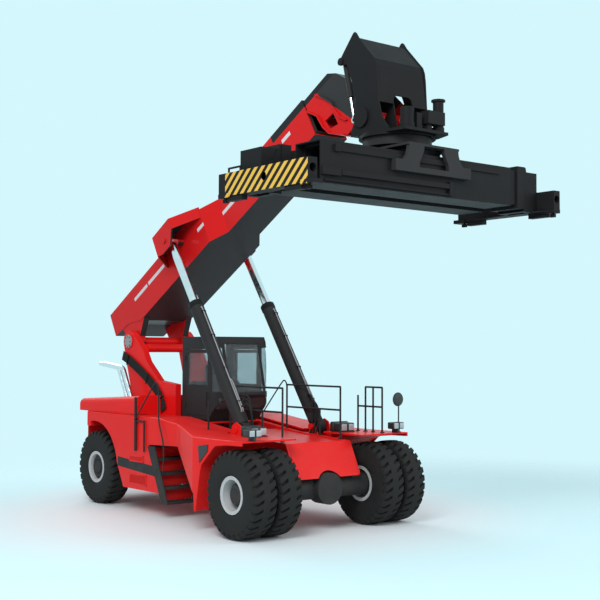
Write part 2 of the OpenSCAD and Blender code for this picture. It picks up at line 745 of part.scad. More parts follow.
ear_pin_a = 2800;
ear_pin_d = 860;
ear_roof = 1165;
ear_front = 3160;
ear_front_low = 930;
ear_out = 1120;
ear_t = 38;
ear_pin_r = 60;
lift_eye_w = 180;
module boom_ear() {
    difference() {
        plate_xz([[2420, 700], [2620, 640], [2960, 640], [ear_front, ear_front_low], [ear_front, ear_roof], [2420, ear_roof]],
            ear_out - ear_t, ear_out);
        pin_y(ear_pin_a, ear_out, ear_pin_d, ear_pin_r - 1, 300);
    }
    stub = lift_y + lift_eye_w / 2 + 6;
    pin_y(ear_pin_a, (ear_out + stub) / 2 + 10, ear_pin_d, ear_pin_r, ear_out - stub + 20);
    pin_y(ear_pin_a, (boom_wide + lift_y - lift_eye_w / 2) / 2 - 8, ear_pin_d, ear_pin_r,
        lift_y - lift_eye_w / 2 - boom_wide + 4);
    translate([0, 0, ear_front_low]) linear_extrude(ear_roof - ear_front_low)
        polygon([[ear_front, ear_out], [ear_front - 30, ear_out], [ear_front + 470, boom_wide - 20],
            [ear_front + 500, boom_wide - 20]]);
    translate([0, 0, 700]) linear_extrude(ear_roof - 700)
        polygon([[2420, ear_out], [2450, ear_out], [2030, boom_wide - 20], [2000, boom_wide - 20]]);
    translate([0, 0, ear_roof]) linear_extrude(25)
        polygon([[2420, ear_out], [ear_front, ear_out], [ear_front + 500, boom_wide - 25], [2000, boom_wide - 25]]);
    block([2000, boom_wide - 25, boom_hi - 40], [ear_front + 500, boom_wide, ear_roof]);
}

module boom_outer() {
    color(red) on_boom() {
        difference() {
            intersection() {
                boom_side(0, mouth_a, boom_tail);
                boom_plan(0, mouth_a);
            }
            intersection() {
                boom_side(boom_wall, mouth_a + 50, boom_tail + boom_wall);
                boom_plan(boom_wall, mouth_a + 50);
            }
        }
        both_sides() difference() {
            plate_xz([[-250, 0], [-330, 520], [-60, 505], [slope_end, boom_lo + 5], [620, boom_lo + 5], [250, 0]], 500, 640);
            pin_y(0, 570, 0, tower_pin_r + 1, 300);
        }
        both_sides() difference() {
            pin_y(0, 570, 0, 250, 140);
            pin_y(0, 570, 0, tower_pin_r + 1, 300);
        }
        both_sides() boom_ear();
    }
}

inner_tail = -300;
module inner_profile(inset) {
    g = boom_wall + stage_gap + inset;
    plate_xz([[inner_tail, 575 + g], [-40, 550 + g], [slope_end + 60, boom_lo + g], [mouth_a + 40, boom_lo + g],
        [mouth_a + 40, boom_hi - g], [inner_tail, boom_hi - g]],
        -boom_slim + g, boom_slim - g);
}

module boom_inner() {
    color(grey) on_boom() {
        difference() {
            inner_profile(0);
            inner_hollow();
        }
        for (s = [-1, 1]) {
            block([mouth_a - 560, s * 200 - 60, boom_lo + boom_wall + slide_gap],
                [mouth_a - 320, s * 200 + 60, boom_lo + boom_wall + stage_gap]);
            block([slope_end + 120, s * 200 - 60, boom_hi - boom_wall - stage_gap],
                [slope_end + 360, s * 200 + 60, boom_hi - boom_wall - slide_gap]);
        }
    }
}

module inner_hollow() {
    g = boom_wall + stage_gap + 20;
    plate_xz([[inner_tail - 20, 575 + g], [-40, 550 + g], [slope_end + 60, boom_lo + g], [mouth_a + 60, boom_lo + g],
        [mouth_a + 60, boom_hi - g], [inner_tail - 20, boom_hi - g]], -boom_slim + g, boom_slim - g);
}

nose_half_w = 400;
nose_t = 30;
head_boss_r = 200;
head_pin_r = 90;
nose_rear = mouth_a + 40;
// Rear edge of the nose, down along the boom's frame, and the rib in front of it
nose_curve = [[nose_rear, 790], [7428, 730], [7585, 518], [7597, 388], [7623, 224], [7707, 15], [8030, -270]];
nose_rib = [[7740, 913], [7917, 682], [8040, 485], [8044, 315], [8087, 102], [8212, -80]];
nose_flange = 448;
module boom_nose() {
    side = concat([[nose_rear, 1060]], nose_curve,
        [[8048, -300], [8500, -300], [8560, -446], [8900, -446], [8950, -200], [8800, 250], [8400, 900],
            [8200, 1060]]);
    color(red) on_boom() {
        difference() {
            both_sides() {
                difference() {
                    plate_xz(side, nose_half_w - nose_t, nose_half_w);
                    plate_xz([[7712, 320], [7970, 303], [7982, 33], [7753, 97]], 0, 500);
                }
                pin_y(head_a, nose_half_w + 20, -head_drop, head_boss_r, 160);
                for (curve = [nose_curve, nose_rib])
                    plate_xz(concat(curve, [for (i = [len(curve) - 1 : -1 : 0]) curve[i] + [30, 0]]),
                        nose_half_w - 1, nose_flange);
            }
            pin_y(head_a, 0, -head_drop, head_pin_r + 1, 1300);
        }
        difference() {
            pin_y(head_a, 0, -head_drop, 150, 2 * nose_half_w - 40);
            pin_y(head_a, 0, -head_drop, head_pin_r + 1, 1300);
        }
        plate_xz(concat(nose_curve, [for (i = [len(nose_curve) - 1 : -1 : 0]) nose_curve[i] + [30, 0]]),
            -nose_half_w + 1, nose_half_w - 1);
        plate_xz([[nose_rear, 1060], [8200, 1060], [8400, 900], [8800, 250], [8770, 240], [8385, 875],
            [8190, 1030], [nose_rear, 1030]], -nose_half_w, nose_half_w);
        both_sides() pin_y(8461, 412, -277, 30, 85);
    }
}

// Lift cylinders, drawn between the base pin and the eye at the parked angle

lift_l = norm([cos(boom_rest) * ear_pin_a - sin(boom_rest) * ear_pin_d + pivot_x - lift_x,
    pivot_z + sin(boom_rest) * ear_pin_a + cos(boom_rest) * ear_pin_d - lift_base_z]);
lift_tilt = atan2(cos(boom_rest) * ear_pin_a - sin(boom_rest) * ear_pin_d + pivot_x - lift_x,
    pivot_z + sin(boom_rest) * ear_pin_a + cos(boom_rest) * ear_pin_d - lift_base_z);

// Places what is drawn with its axis up from the base pin
module on_lift() {
    both_sides() translate([lift_x, lift_y, lift_base_z]) rotate([0, lift_tilt, 0]) children();
}

module lift_barrels() {
    color(grey) on_lift() difference() {
        union() {
            translate([0, 0, 100]) cylinder(h = lift_barrel_l - 100, r = lift_barrel_r);
            pin_y(0, 0, 0, 150, 190);
        }
        pin_y(0, 0, 0, 60 + slide_gap, 400);
        translate([0, 0, 125]) cylinder(h = lift_barrel_l, r = lift_rod_r + slide_gap);
    }
}

lift_rod_l = 3140;
module lift_rods() {
    color("#d8dadb") on_lift() difference() {
        union() {
            translate([0, 0, lift_l - lift_rod_l]) cylinder(h = lift_rod_l - 100, r = lift_rod_r);
            pin_y(0, 0, lift_l, 120, lift_eye_w);
        }
        pin_y(0, 0, lift_l, 62, 400);
    }
}

// Head, dampers, slewing carriage and spreader

head_x = pivot_x + cos(boom_rest) * head_a + sin(boom_rest) * head_drop;
head_z = pivot_z + sin(boom_rest) * head_a - cos(boom_rest) * head_drop;
ring_top = head_z - 273;
ring_low = ring_top - 110;
damper_pin = [head_x - 580, head_z + 1107];
// Outline of a head side plate about the head pin, from its rear foot up and round to its front foot
head_side = [[-290, -274], [-270, -180], [-200, -60], [-190, 120], [-150, 430], [-420, 1030], [-565, 1050],
    [-618, 1107], [-590, 1165], [-505, 1265], [-240, 1560], [-200, 1577], [-165, 1550], [-100, 1457], [330, 1007],
    [375, 900], [400, 737], [430, 257], [470, 97], [510, -43], [620, -200], [700, -274]];
// Section of the head's front cover about the head pin
head_slope = [[-120, 1457], [310, 1007], [355, 895], [378, 737], [352, 735], [330, 890], [288, 992], [-138, 1438]];
cover_t = 26;
drive_x = head_x + 930;
foot_low = ring_low + 30;
// The two slewing drives: place across, radius, top over the ring
slew_drives = [[-380, 120, 410], [380, 95, 610]];
module head_frame() {
    side_out = head_in + head_t;
    color(black) {
        both_sides() difference() {
            union() {
                plate_xz([for (q = head_side) [head_x, head_z] + q], head_in, side_out);
                pin_y(head_x, side_out + 12, head_z, 185, 64);
                pin_y(damper_pin[0], side_out, damper_pin[1], 70, 40);
            }
            pin_y(damper_pin[0], head_in, damper_pin[1], 35, 200);
        }
        plate_xz([for (q = head_slope) [head_x, head_z] + q], -head_in - 1, head_in + 1);
        head_cover();
        pin_y(head_x, 0, head_z, head_pin_r, 2 * side_out);
        both_sides() pin_y(damper_pin[0], head_in - 20, damper_pin[1], 35, 140);
        translate([slew_x, 0, ring_low]) cylinder(h = 50, r = slew_r, $fn = 96);
        translate([slew_x, 0, ring_low + 40]) cylinder(h = 45, r = slew_r - 35, $fn = 96);
        block([head_x - 290, -side_out, ring_top - 38], [head_x + 700, side_out, ring_top + 2]);
        translate([0, 0, foot_low]) linear_extrude(50)
            polygon([[slew_x + 200, -side_out], [slew_x + 440, -side_out], [drive_x + 150, -550],
                [drive_x + 150, 480], [slew_x + 440, side_out], [slew_x + 200, side_out]]);
        both_sides() plate_xz([[head_x + 20, ring_top - 10], [head_x + 330, ring_top + 520],
            [head_x + 400, ring_top + 520], [head_x + 470, ring_top + 150], [head_x + 560, ring_top - 10]], 190, 215);
        slewing_drives();
    }
}

// Front cover of the head: it leans a little, and its lower edge is cut out over the slewing drives
module head_cover() {
    translate([head_x + 378, 0, head_z + 740]) rotate([0, -cover_lean, 0])
        plate_yz([[-head_in - 1, 0], [-head_in - 1, -520], [-235, -520], [-215, -410], [-140, -360], [150, -360],
            [215, -410], [245, -520], [head_in + 1, -520], [head_in + 1, 0]], -cover_t, 0);
}
cover_lean = 6;

// The slewing drives and their valve block, which stand on the head's foot plate
module slewing_drives() {
    for (d = slew_drives) {
        translate([drive_x, d[0], foot_low + 10]) cylinder(h = 130, r = d[1] + 12);
        translate([drive_x, d[0], foot_low + 130]) cylinder(h = d[2] - 130, r = d[1]);
    }
    translate([drive_x, slew_drives[1][0], foot_low + 600]) cylinder(h = 40, r = 125, $fn = 8);
    block([drive_x - 70, 20, foot_low + 170], [drive_x + 120, 430, foot_low + 400]);
    block([drive_x - 50, 60, foot_low + 40], [drive_x + 60, 150, foot_low + 180]);
    block([drive_x - 50, -190, foot_low + 40], [drive_x + 50, -70, foot_low + 340]);
}

damper_eye = [head_x - 320, head_z + 11];
damper_l = norm(damper_eye - damper_pin);
damper_tilt = atan2(damper_eye[0] - damper_pin[0], damper_eye[1] - damper_pin[1]);
module on_damper() {
    both_sides() translate([damper_pin[0], 490, damper_pin[1]]) rotate([0, damper_tilt, 0]) children();
}
module damper_barrels() {
    color(grey) on_damper() difference() {
        union() {
            pin_y(0, 0, 0, 60, 70);
            translate([0, 0, 40]) cylinder(h = 640, r = 50);
        }
        pin_y(0, 0, 0, 35 + slide_gap, 100);
        translate([0, 0, 100]) cylinder(h = 700, r = 28 + slide_gap);
    }
}
module damper_rods() {
    color("#d8dadb") on_damper() difference() {
        union() {
            pin_y(0, 0, damper_l, 55, 60);
            translate([0, 0, damper_l - 830]) cylinder(h = 790, r = 28);
        }
        pin_y(0, 0, damper_l, 32, 100);
    }
}

tube_low = lock_z + 185;
tube_top = tube_low + tube_h;
front_tube = [slew_x + 175, slew_x + 825];
rear_tube = [slew_x - 825, slew_x - 175];
carriage_top = ring_low - slide_gap;
disc_t = 160;
rail_x = 825;
rail_low = 6655;
rail_h = 90;
shoe_low = 6460;
shoe_top = rail_low - slide_gap;
leg_top = 6970;
leg_in = 862;
leg_out = 940;
// Plates of a shoe across Y: from, to
shoe_ends = [[-910, -560], [560, 910]];
module slewing_carriage() {
    color(grey) {
        translate([slew_x, 0, carriage_top - disc_t]) cylinder(h = disc_t, r = 620, $fn = 96);
        block([slew_x - 560, -380, leg_top - 45], [slew_x + 560, 380, carriage_top - disc_t + 5]);
        block([slew_x - leg_out, -610, leg_top - 40], [slew_x + leg_out, 610, leg_top]);
        for (s = [-1, 1]) {
            block([slew_x + s * 500 - 200, -380, tube_top + slide_gap], [slew_x + s * 500 + 200, 380, leg_top - 35]);
            both_sides() plate_yz(carriage_leg, slew_x + (s > 0 ? leg_in : -leg_out), slew_x + (s > 0 ? leg_out : -leg_in));
            block_x(slew_x, s, [leg_in, -910, shoe_low], [leg_out, 910, shoe_low + 95]);
            for (e = shoe_ends)
                block_x(slew_x, s, [rail_x + 4, e[0], shoe_low], [leg_out, e[1], shoe_top]);
        }
    }
}

// Outline in YZ of one leg of the A-shaped frames that reach down outside the tubes to the shoes
carriage_leg = [[235, leg_top - 5], [585, leg_top - 5], [600, 6850], [640, 6740], [720, rail_low],
    [810, 6600], [810, shoe_low + 20], [360, shoe_low + 20], [350, rail_low], [300, 6740], [250, 6850]];

module spreader_tube(x0, x1, y0, y1) {
    difference() {
        block([x0, y0, tube_low], [x1, y1, tube_top]);
        block([x0 + tube_wall, y0 - 10, tube_low + tube_wall], [x1 - tube_wall, y1 + 10, tube_top - tube_wall]);
    }
}

tube_long = 2450;
tube_short = 2100;
module spreader_frame() {
    color(black) {
        spreader_tube(front_tube[0], front_tube[1], -tube_long, tube_short);
        spreader_tube(rear_tube[0], rear_tube[1], -tube_short, tube_long);
        for (y = [-1900, -700, 0, 700, 1900])
            block([rear_tube[1], y - 100, tube_low + 60], [front_tube[0], y + 100, tube_top - 60]);
        tube_trim();
        translate([2 * slew_x, 0, 0]) rotate([0, 0, 180]) tube_trim();
    }
}

// Ribs on the outer wall of the front tube: [y from, y to, z from, z to, depth]
trim_parts = [
    [-2070, 1760, rail_low, rail_low + rail_h, 32],
    [-2170, -2060, rail_low - 15, rail_low + rail_h + 15, 50],
    [-2040, 470, 6265, 6350, 55],
    [-2450, -2060, 6245, 6370, 62],
    [-2380, 440, 6150, 6172, 40],
    [440, 520, 6150, 6380, 62],
];
module tube_trim() {
    for (t = trim_parts)
        block_x(slew_x, 1, [rail_x - 1, t[0], t[2]], [rail_x + t[4], t[1], t[3]]);
}

beam_low = lock_z + 100;
beam_top = beam_low + 390;
beam_half = 1225;
collar_y = 2460;
// Outlines in YZ of the neck between an arm and its end beam: its side walls and its sloping top
neck_side = [[collar_y, beam_low + 2], [collar_y, tube_top + 45], [2520, tube_top + 45], [2545, tube_top - 90],
    [2610, 6590], [2700, 6530], [2845, beam_top - 2], [2845, beam_low + 2]];
neck_top = [[collar_y + 1, tube_top - 60], [2520, tube_top - 90], [2590, 6585], [2690, 6510], [2844, beam_top - 27],
    [2844, beam_top - 3], [2700, 6529], [2609, 6590], [2544, tube_top - 60], [2519, tube_top + 44], [collar_y + 1, tube_top + 44]];
neck_r = 28;
module spreader_arm() {
    w = tube_wall + 10;
    y_out = lock_y / 2;
    x0 = front_tube[0] + w;
    x1 = front_tube[1] - w;
    color(black) {
        difference() {
            block([x0, -2300, tube_low + w], [x1, y_out - 60, tube_top - w]);
            block([x0 + 22, -2310, tube_low + w + 22], [x1 - 22, y_out - 80, tube_top - w - 22]);
        }
        block([x0 + 10, -2290, tube_top - w - 1], [x1 - 10, -2050, tube_top - tube_wall - slide_gap]);
        block([x0 + 10, 1800, tube_low + tube_wall + slide_gap], [x1 - 10, 2090, tube_low + w + 1]);
        difference() {
            union() {
                block([slew_x - beam_half, y_out - 85, beam_low], [slew_x + beam_half, y_out + 85, beam_top]);
                for (s = [-1, 1])
                    block([slew_x + s * lock_x / 2 - 210, y_out - 100, beam_low - 25],
                        [slew_x + s * lock_x / 2 + 90, y_out + 100, beam_low + 45]);
            }
            block([slew_x - beam_half + 25, y_out - 63, beam_low + 60],
                [slew_x + beam_half - 25, y_out + 63, beam_top - 22]);
            translate([slew_x - beam_half - 20, y_out, beam_low + 230]) rotate([0, 90, 0])
                cylinder(h = 2 * beam_half + 40, r = 70);
            pin_y(slew_x - 56, y_out, beam_low + 220, 70, 400);
        }
        difference() {
            block([x0 - 45, 2270, tube_low - 38], [x1 + 45, collar_y + 10, tube_top + 47]);
            block([x0 + 22, 2260, tube_low + w + 22], [x1 - 22, collar_y + 20, tube_top - w - 22]);
        }
        for (x = [x0 - 29, x1 + 5]) plate_yz(neck_side, x, x + 24);
        plate_yz(neck_top, x0 - 29, x1 + 29);
        difference() {
            translate([0, 0, beam_low + 1]) linear_extrude(24)
                polygon([[x0 - 29, collar_y], [x1 + 29, collar_y], [x1 + 29, collar_y + 250], [slew_x + beam_half - 90, y_out - 80],
                    [slew_x - 830, y_out - 80], [x0 - 29, collar_y + 250]]);
            translate([0, 0, beam_low - 10]) linear_extrude(60)
                polygon([[x0 + 160, collar_y + 120], [x1 - 120, collar_y + 120], [x1 - 60, y_out - 180], [x0 - 120, y_out - 180]]);
        }
        for (s = [-1, 1]) block_x(slew_x, s, [587, y_out - 60, lock_z + 12], [1005, y_out + 60, beam_low + 45]);
        for (s = [-1, 1]) translate([slew_x + s * lock_x / 2, y_out, 0]) {
            translate([0, 0, lock_z + 60]) cylinder(h = beam_low - lock_z - 50, r = neck_r);
            translate([-52, -28, lock_z]) cube([104, 56, 60]);
        }
    }
}
module spreader_arm_left() { spreader_arm(); }
module spreader_arm_right() {
    translate([2 * slew_x, 0, 0]) rotate([0, 0, 180]) {
        spreader_arm();
        color(black) hoop();
    }
}

// The pipe hoop over the right end beam
module hoop() {
    x = [slew_x + 650, slew_x + 985];
    y = lock_y / 2 + 40;
    for (e = x) bar([e, y, beam_top - 20], [e, y, beam_top + 80], 18);
    bar([x[0], y, beam_top + 80], [x[1], y, beam_top + 80], 18);
    for (e = x) translate([e, y, beam_top + 80]) sphere(r = 18.5, $fn = 16);
}

main_frame();
counterweight();
engine_block();
body_panels();
mudguards();
access_steps();
deck_rails();
stair_rails();
cab_shell();
cab_glazing();
operator_seat();
cab_controls();
drive_axle();
steer_axle();
exhaust_pipes();
work_lamps();
round_mirror();
tower_hoses();
engine_hood();
hood_flap_right();
hood_flap_left();
cab_door_right();
cab_door_left();
door_glass_right();
door_glass_left();
drive_tyres_left();
drive_tyres_right();
drive_rims_left();
drive_rims_right();
steer_knuckle_left();
steer_knuckle_right();
steer_tyre_left();
steer_tyre_right();
steer_rim_left();
steer_rim_right();
steering_rod();
track_link_left();
track_link_right();
boom_outer();
boom_inner();
boom_nose();
lift_barrels();
lift_rods();
head_frame();
damper_barrels();
damper_rods();
slewing_carriage();
spreader_frame();
spreader_arm_left();
spreader_arm_right();
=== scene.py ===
"""Looks of a reach stacker for shipping containers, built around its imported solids.

Metres, X forward, Y to the machine's left, Z up, origin on the floor under the drive axle.
"""

import json
import math

import bpy
import numpy as np
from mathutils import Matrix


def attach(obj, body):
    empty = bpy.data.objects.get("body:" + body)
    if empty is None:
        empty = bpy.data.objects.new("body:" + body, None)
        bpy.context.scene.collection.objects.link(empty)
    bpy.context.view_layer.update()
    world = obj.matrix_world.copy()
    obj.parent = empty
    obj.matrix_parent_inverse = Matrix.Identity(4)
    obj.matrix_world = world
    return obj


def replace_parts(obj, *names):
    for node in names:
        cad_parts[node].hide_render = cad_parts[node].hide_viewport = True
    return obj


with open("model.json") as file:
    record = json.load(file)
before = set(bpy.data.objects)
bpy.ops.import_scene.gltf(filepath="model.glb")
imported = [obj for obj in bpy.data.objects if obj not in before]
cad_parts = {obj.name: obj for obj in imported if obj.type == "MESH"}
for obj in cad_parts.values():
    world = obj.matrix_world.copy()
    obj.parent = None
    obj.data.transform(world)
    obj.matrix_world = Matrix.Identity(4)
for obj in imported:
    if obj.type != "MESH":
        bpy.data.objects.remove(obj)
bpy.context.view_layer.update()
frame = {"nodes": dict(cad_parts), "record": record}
NODES = frame["nodes"]

# The machine's main places, in metres
AXLE_Z = 0.81
STEER_X = -6.0
DRIVE_TYRES_Y = (1.255, 1.83)
STEER_TYRE_Y = 1.33
PIVOT = (-5.9, 3.62)
BOOM_ANGLE = math.radians(29.8)
SLEW_X = 2.176
# Camera, solved from the photo: sensor and focal length in frame widths, lens shift, place, and turn by
# heading, pitch and roll
SENSOR_WIDTH = 36.0
FOCAL_WIDTHS = 1135.386 / 600
LENS_SHIFT = (-0.0260, 0.0096)
CAMERA_PLACE = (16.939, -13.864, 3.442)
CAMERA_TURN = (2.4593, 0.0387, 0.0025)


# Camera, light and floor

def placed(name, data):
    """A new object with its data, in the scene."""
    thing = bpy.data.objects.new(name, data)
    bpy.context.scene.collection.objects.link(thing)
    return thing


def place_camera():
    """Sets the camera from its solved place, heading, pitch and roll."""
    data = bpy.data.cameras.new("camera")
    data.sensor_width = SENSOR_WIDTH
    data.lens = SENSOR_WIDTH * FOCAL_WIDTHS
    data.shift_x, data.shift_y = LENS_SHIFT
    data.clip_end = 200.0
    camera = placed("camera", data)
    camera.location = CAMERA_PLACE
    heading, pitch, roll = CAMERA_TURN
    camera.rotation_mode = "XYZ"
    camera.rotation_euler = (math.pi / 2 + pitch, -roll, heading - math.pi / 2)
    bpy.context.scene.camera = camera


def add_area(name, place, target, size, power):
    """An area lamp at a place that faces a target."""
    data = bpy.data.lights.new(name, "AREA")
    data.shape = "SQUARE"
    data.size = size
    data.energy = power
    lamp = placed(name, data)
    lamp.location = place
    way = np.array(target, float) - np.array(place, float)
    flat = math.hypot(way[0], way[1])
    lamp.rotation_euler = (math.atan2(flat, -way[2]), 0.0, math.atan2(way[1], way[0]) - math.pi / 2)


BACKGROUND = (0.66, 0.93, 0.98, 1.0)
SOFT_LIGHT = (0.92, 0.96, 1.0, 1.0)
SOFT_STRENGTH = 0.62
# Floor: half its side, where its painted shadow tint begins and ends, the tint's shift, where it fades out,
# and its colours, the near one a neutral tint painted where the machine's shadow falls
FLOOR_HALF = 45.0
SHADOW_TINT_REACH = (2.5, 7.0)
SHADOW_TINT_SHIFT = (2.8, 0.0, 0.0)
FADE_REACH = (8.0, 17.0)
FLOOR_SHADOW_TINT = (0.80, 0.84, 0.86, 1.0)
FLOOR_FAR = (0.62, 0.87, 0.91, 1.0)
# Area lamps that face the machine's middle: name, place, size, power
AREA_LAMPS = [("key_lamp", (10.0, -14.0, 16.0), 9.0, 2600.0),
              ("fill_lamp", (14.0, 10.0, 10.0), 10.0, 900.0),
              ("rear_lamp", (-18.0, 2.0, 14.0), 10.0, 1200.0)]
LAMP_TARGET = (-1.0, 0.0, 3.0)


def make_world():
    """A pale background where the camera, a gloss or a glass sees it, and a soft even light elsewhere."""
    world = bpy.data.worlds.new("studio")
    world.use_nodes = True
    bpy.context.scene.world = world
    tree = world.node_tree
    tree.nodes.clear()
    ray = add_node(tree, "LightPath").outputs
    through = math_node(tree, "MAXIMUM", ray["Is Glossy Ray"], ray["Is Transmission Ray"])
    seen = math_node(tree, "MAXIMUM", ray["Is Camera Ray"], through)
    soft = add_node(tree, "Background", SOFT_LIGHT, SOFT_STRENGTH)
    pale = add_node(tree, "Background", BACKGROUND, 1.0)
    join = add_node(tree, "MixShader", seen, soft.outputs[0], pale.outputs[0])
    add_node(tree, "OutputWorld", join.outputs[0])


def make_floor():
    """A pale floor that takes the shadow near the machine, with a neutral painted shadow tint there,
    and fades into the background further out.
    """
    half = FLOOR_HALF
    mesh = bpy.data.meshes.new("floor")
    mesh.from_pydata([(-half, -half, 0), (half, -half, 0), (half, half, 0), (-half, half, 0)], [],
                     [(0, 1, 2, 3)])
    floor = placed("floor", mesh)
    material, tree, shader = start_material("floor_paint", roughness=0.9, specular=0.1)
    place = add_node(tree, "TexCoord").outputs["Object"]
    far = add_node(tree, "VectorMath", place, operation="LENGTH").outputs["Value"]
    shifted = add_node(tree, "VectorMath", place, SHADOW_TINT_SHIFT, operation="ADD").outputs[0]
    near = add_node(tree, "VectorMath", shifted, operation="LENGTH").outputs["Value"]
    # Painted shadow tint: neutral near the machine, where its shadow falls, and cyan further out
    shade = spread(tree, near, *SHADOW_TINT_REACH, 0.0, 1.0)
    tree.links.new(mix_colour(tree, shade, FLOOR_SHADOW_TINT, FLOOR_FAR), shader.inputs["Base Color"])
    fade = spread(tree, far, *FADE_REACH, 0.0, 1.0)
    clear = add_node(tree, "BsdfTransparent")
    join = add_node(tree, "MixShader", fade, shader.outputs[0], clear.outputs[0])
    tree.links.new(join.outputs[0], tree.nodes["Material Output"].inputs["Surface"])
    mesh.materials.append(material)


# Shared effects, each a node group with named inputs and outputs

def feed(tree, socket, value):
    """Sets a socket to a number or a tuple, or links another socket to it."""
    if isinstance(value, (int, float, tuple)):
        socket.default_value = value
    else:
        tree.links.new(value, socket)


def add_node(tree, kind, *values, **settings):
    """A shader node with its settings, whose first inputs take the values in their order."""
    node = tree.nodes.new("ShaderNode" + kind)
    for label, setting in settings.items():
        setattr(node, label, setting)
    for socket, value in zip(node.inputs, values):
        feed(tree, socket, value)
    return node


def feed_named(tree, node, values):
    """Feeds a node's inputs by their names and gives the node back."""
    for label, value in values.items():
        feed(tree, node.inputs[label], value)
    return node


def new_group(name, inputs, outputs):
    """An empty shader group with float inputs and outputs."""
    group = bpy.data.node_groups.new(name, "ShaderNodeTree")
    for label, value in inputs:
        socket = group.interface.new_socket(name=label, in_out="INPUT", socket_type="NodeSocketFloat")
        socket.default_value = value
    for label in outputs:
        group.interface.new_socket(name=label, in_out="OUTPUT", socket_type="NodeSocketFloat")
    return group, group.nodes.new("NodeGroupInput"), group.nodes.new("NodeGroupOutput")


def noise_at(tree, scale, detail=3.0, roughness=0.5):
    """A noise on Object coordinates."""
    noise = add_node(tree, "TexNoise", add_node(tree, "TexCoord").outputs["Object"])
    feed_named(tree, noise, {"Scale": scale, "Detail": detail, "Roughness": roughness})
    return noise.outputs["Fac"]


def math_node(tree, operation, first, second=0.0, clamp=False):
    """One arithmetic node, whose inputs are sockets or numbers."""
    return add_node(tree, "Math", first, second, operation=operation, use_clamp=clamp).outputs[0]


def times(tree, first, second):
    """The product of two values."""
    return math_node(tree, "MULTIPLY", first, second)


def less(tree, first, second):
    """The first value less the second."""
    return math_node(tree, "SUBTRACT", first, second)


def plus(tree, first, second):
    """The sum of two values."""
    return math_node(tree, "ADD", first, second)


def spread(tree, value, low, high, to_low, to_high):
    """Maps a value's range smoothly to another."""
    node = add_node(tree, "MapRange", value, low, high, to_low, to_high, interpolation_type="SMOOTHSTEP")
    return node.outputs["Result"]


def mix_colour(tree, factor, first, second):
    """Mixes two colours, each a socket or four numbers."""
    node = add_node(tree, "Mix", factor, data_type="RGBA")
    feed(tree, node.inputs[6], first)
    feed(tree, node.inputs[7], second)
    return node.outputs[2]


def object_parts(tree):
    """The place and the facing of a surface, each split into X, Y and Z, in the piece's own frame."""
    source = add_node(tree, "TexCoord").outputs
    return [add_node(tree, "SeparateXYZ", source[kind]) for kind in ("Object", "Normal")]


def build_road_dust():
    """Dust on upward faces that thickens towards the floor: from the normal, the height and a noise."""
    group, inside, out = new_group("road_dust", [("Amount", 0.3), ("Top height", 2.2)], ["Dust"])
    place, facing = object_parts(group)
    share = math_node(group, "DIVIDE", place.outputs["Z"], inside.outputs["Top height"])
    low = math_node(group, "SUBTRACT", 1.0, share, True)
    upward = spread(group, facing.outputs["Z"], 0.2, 1.0, 0.0, 1.0)
    cloud = spread(group, noise_at(group, 2.3, 6.0, 0.6), 0.35, 0.75, 0.25, 1.0)
    total = math_node(group, "ADD", low, times(group, upward, 0.55), True)
    dust = math_node(group, "MULTIPLY", times(group, total, cloud), inside.outputs["Amount"], True)
    group.links.new(dust, out.inputs["Dust"])
    return group


def build_paint_grain():
    """Paint's small unevenness: a broad tone, a fine orange-peel height and a roughness that wanders."""
    group, inside, out = new_group(
        "paint_grain", [("Tone", 0.06), ("Base roughness", 0.35), ("Wander", 0.12)],
        ["Tone", "Roughness", "Height"])
    broad = times(group, less(group, noise_at(group, 0.9, 4.0, 0.55), 0.5), inside.outputs["Tone"])
    smear = times(group, less(group, noise_at(group, 3.1, 5.0, 0.6), 0.5), inside.outputs["Wander"])
    rough = math_node(group, "ADD", inside.outputs["Base roughness"], smear, True)
    feed_named(group, out, {"Tone": plus(group, 1.0, broad), "Roughness": rough,
                            "Height": noise_at(group, 60.0, 2.0)})
    return group


ROAD_DUST = build_road_dust()
PAINT_GRAIN = build_paint_grain()
DUST_TONE = (0.30, 0.27, 0.23, 1.0)


def use_group(tree, group, **values):
    """Places a shared group and sets its own values."""
    node = add_node(tree, "Group", node_tree=group)
    return feed_named(tree, node, {label.replace("_", " "): value for label, value in values.items()})


def start_material(name, metallic=0.0, roughness=0.5, specular=0.5):
    """A material with its uniform values on the shader's own sockets."""
    material = bpy.data.materials.new(name)
    material.use_nodes = True
    tree = material.node_tree
    uniform = {"Metallic": metallic, "Roughness": roughness, "Specular IOR Level": specular}
    return material, tree, feed_named(tree, tree.nodes["Principled BSDF"], uniform)


def bump(tree, shader, height, strength, distance):
    """Feeds a height into the shader's normal."""
    inputs = {"Strength": strength, "Distance": distance, "Height": height}
    feed(tree, shader.inputs["Normal"], feed_named(tree, add_node(tree, "Bump"), inputs).outputs["Normal"])


def set_look(tree, shader, colour, roughness):
    """Feeds the shader's base colour and roughness."""
    feed_named(tree, shader, {"Base Color": colour, "Roughness": roughness})


def scaled_tone(tree, colour, tone):
    """A colour made lighter or darker by a tone near 1."""
    if isinstance(colour, tuple):
        colour = colour[:3]
    node = add_node(tree, "VectorMath", colour, operation="SCALE")
    tree.links.new(tone, node.inputs["Scale"])
    return node.outputs[0]


# Paint: its tone's reach, its gloss's wander, the dust's roughness, and its skin's bump strength and depth
PAINT_TONE = 0.10
PAINT_WANDER = 0.16
DUST_ROUGH = 0.4
PAINT_SKIN = (0.06, 0.002)


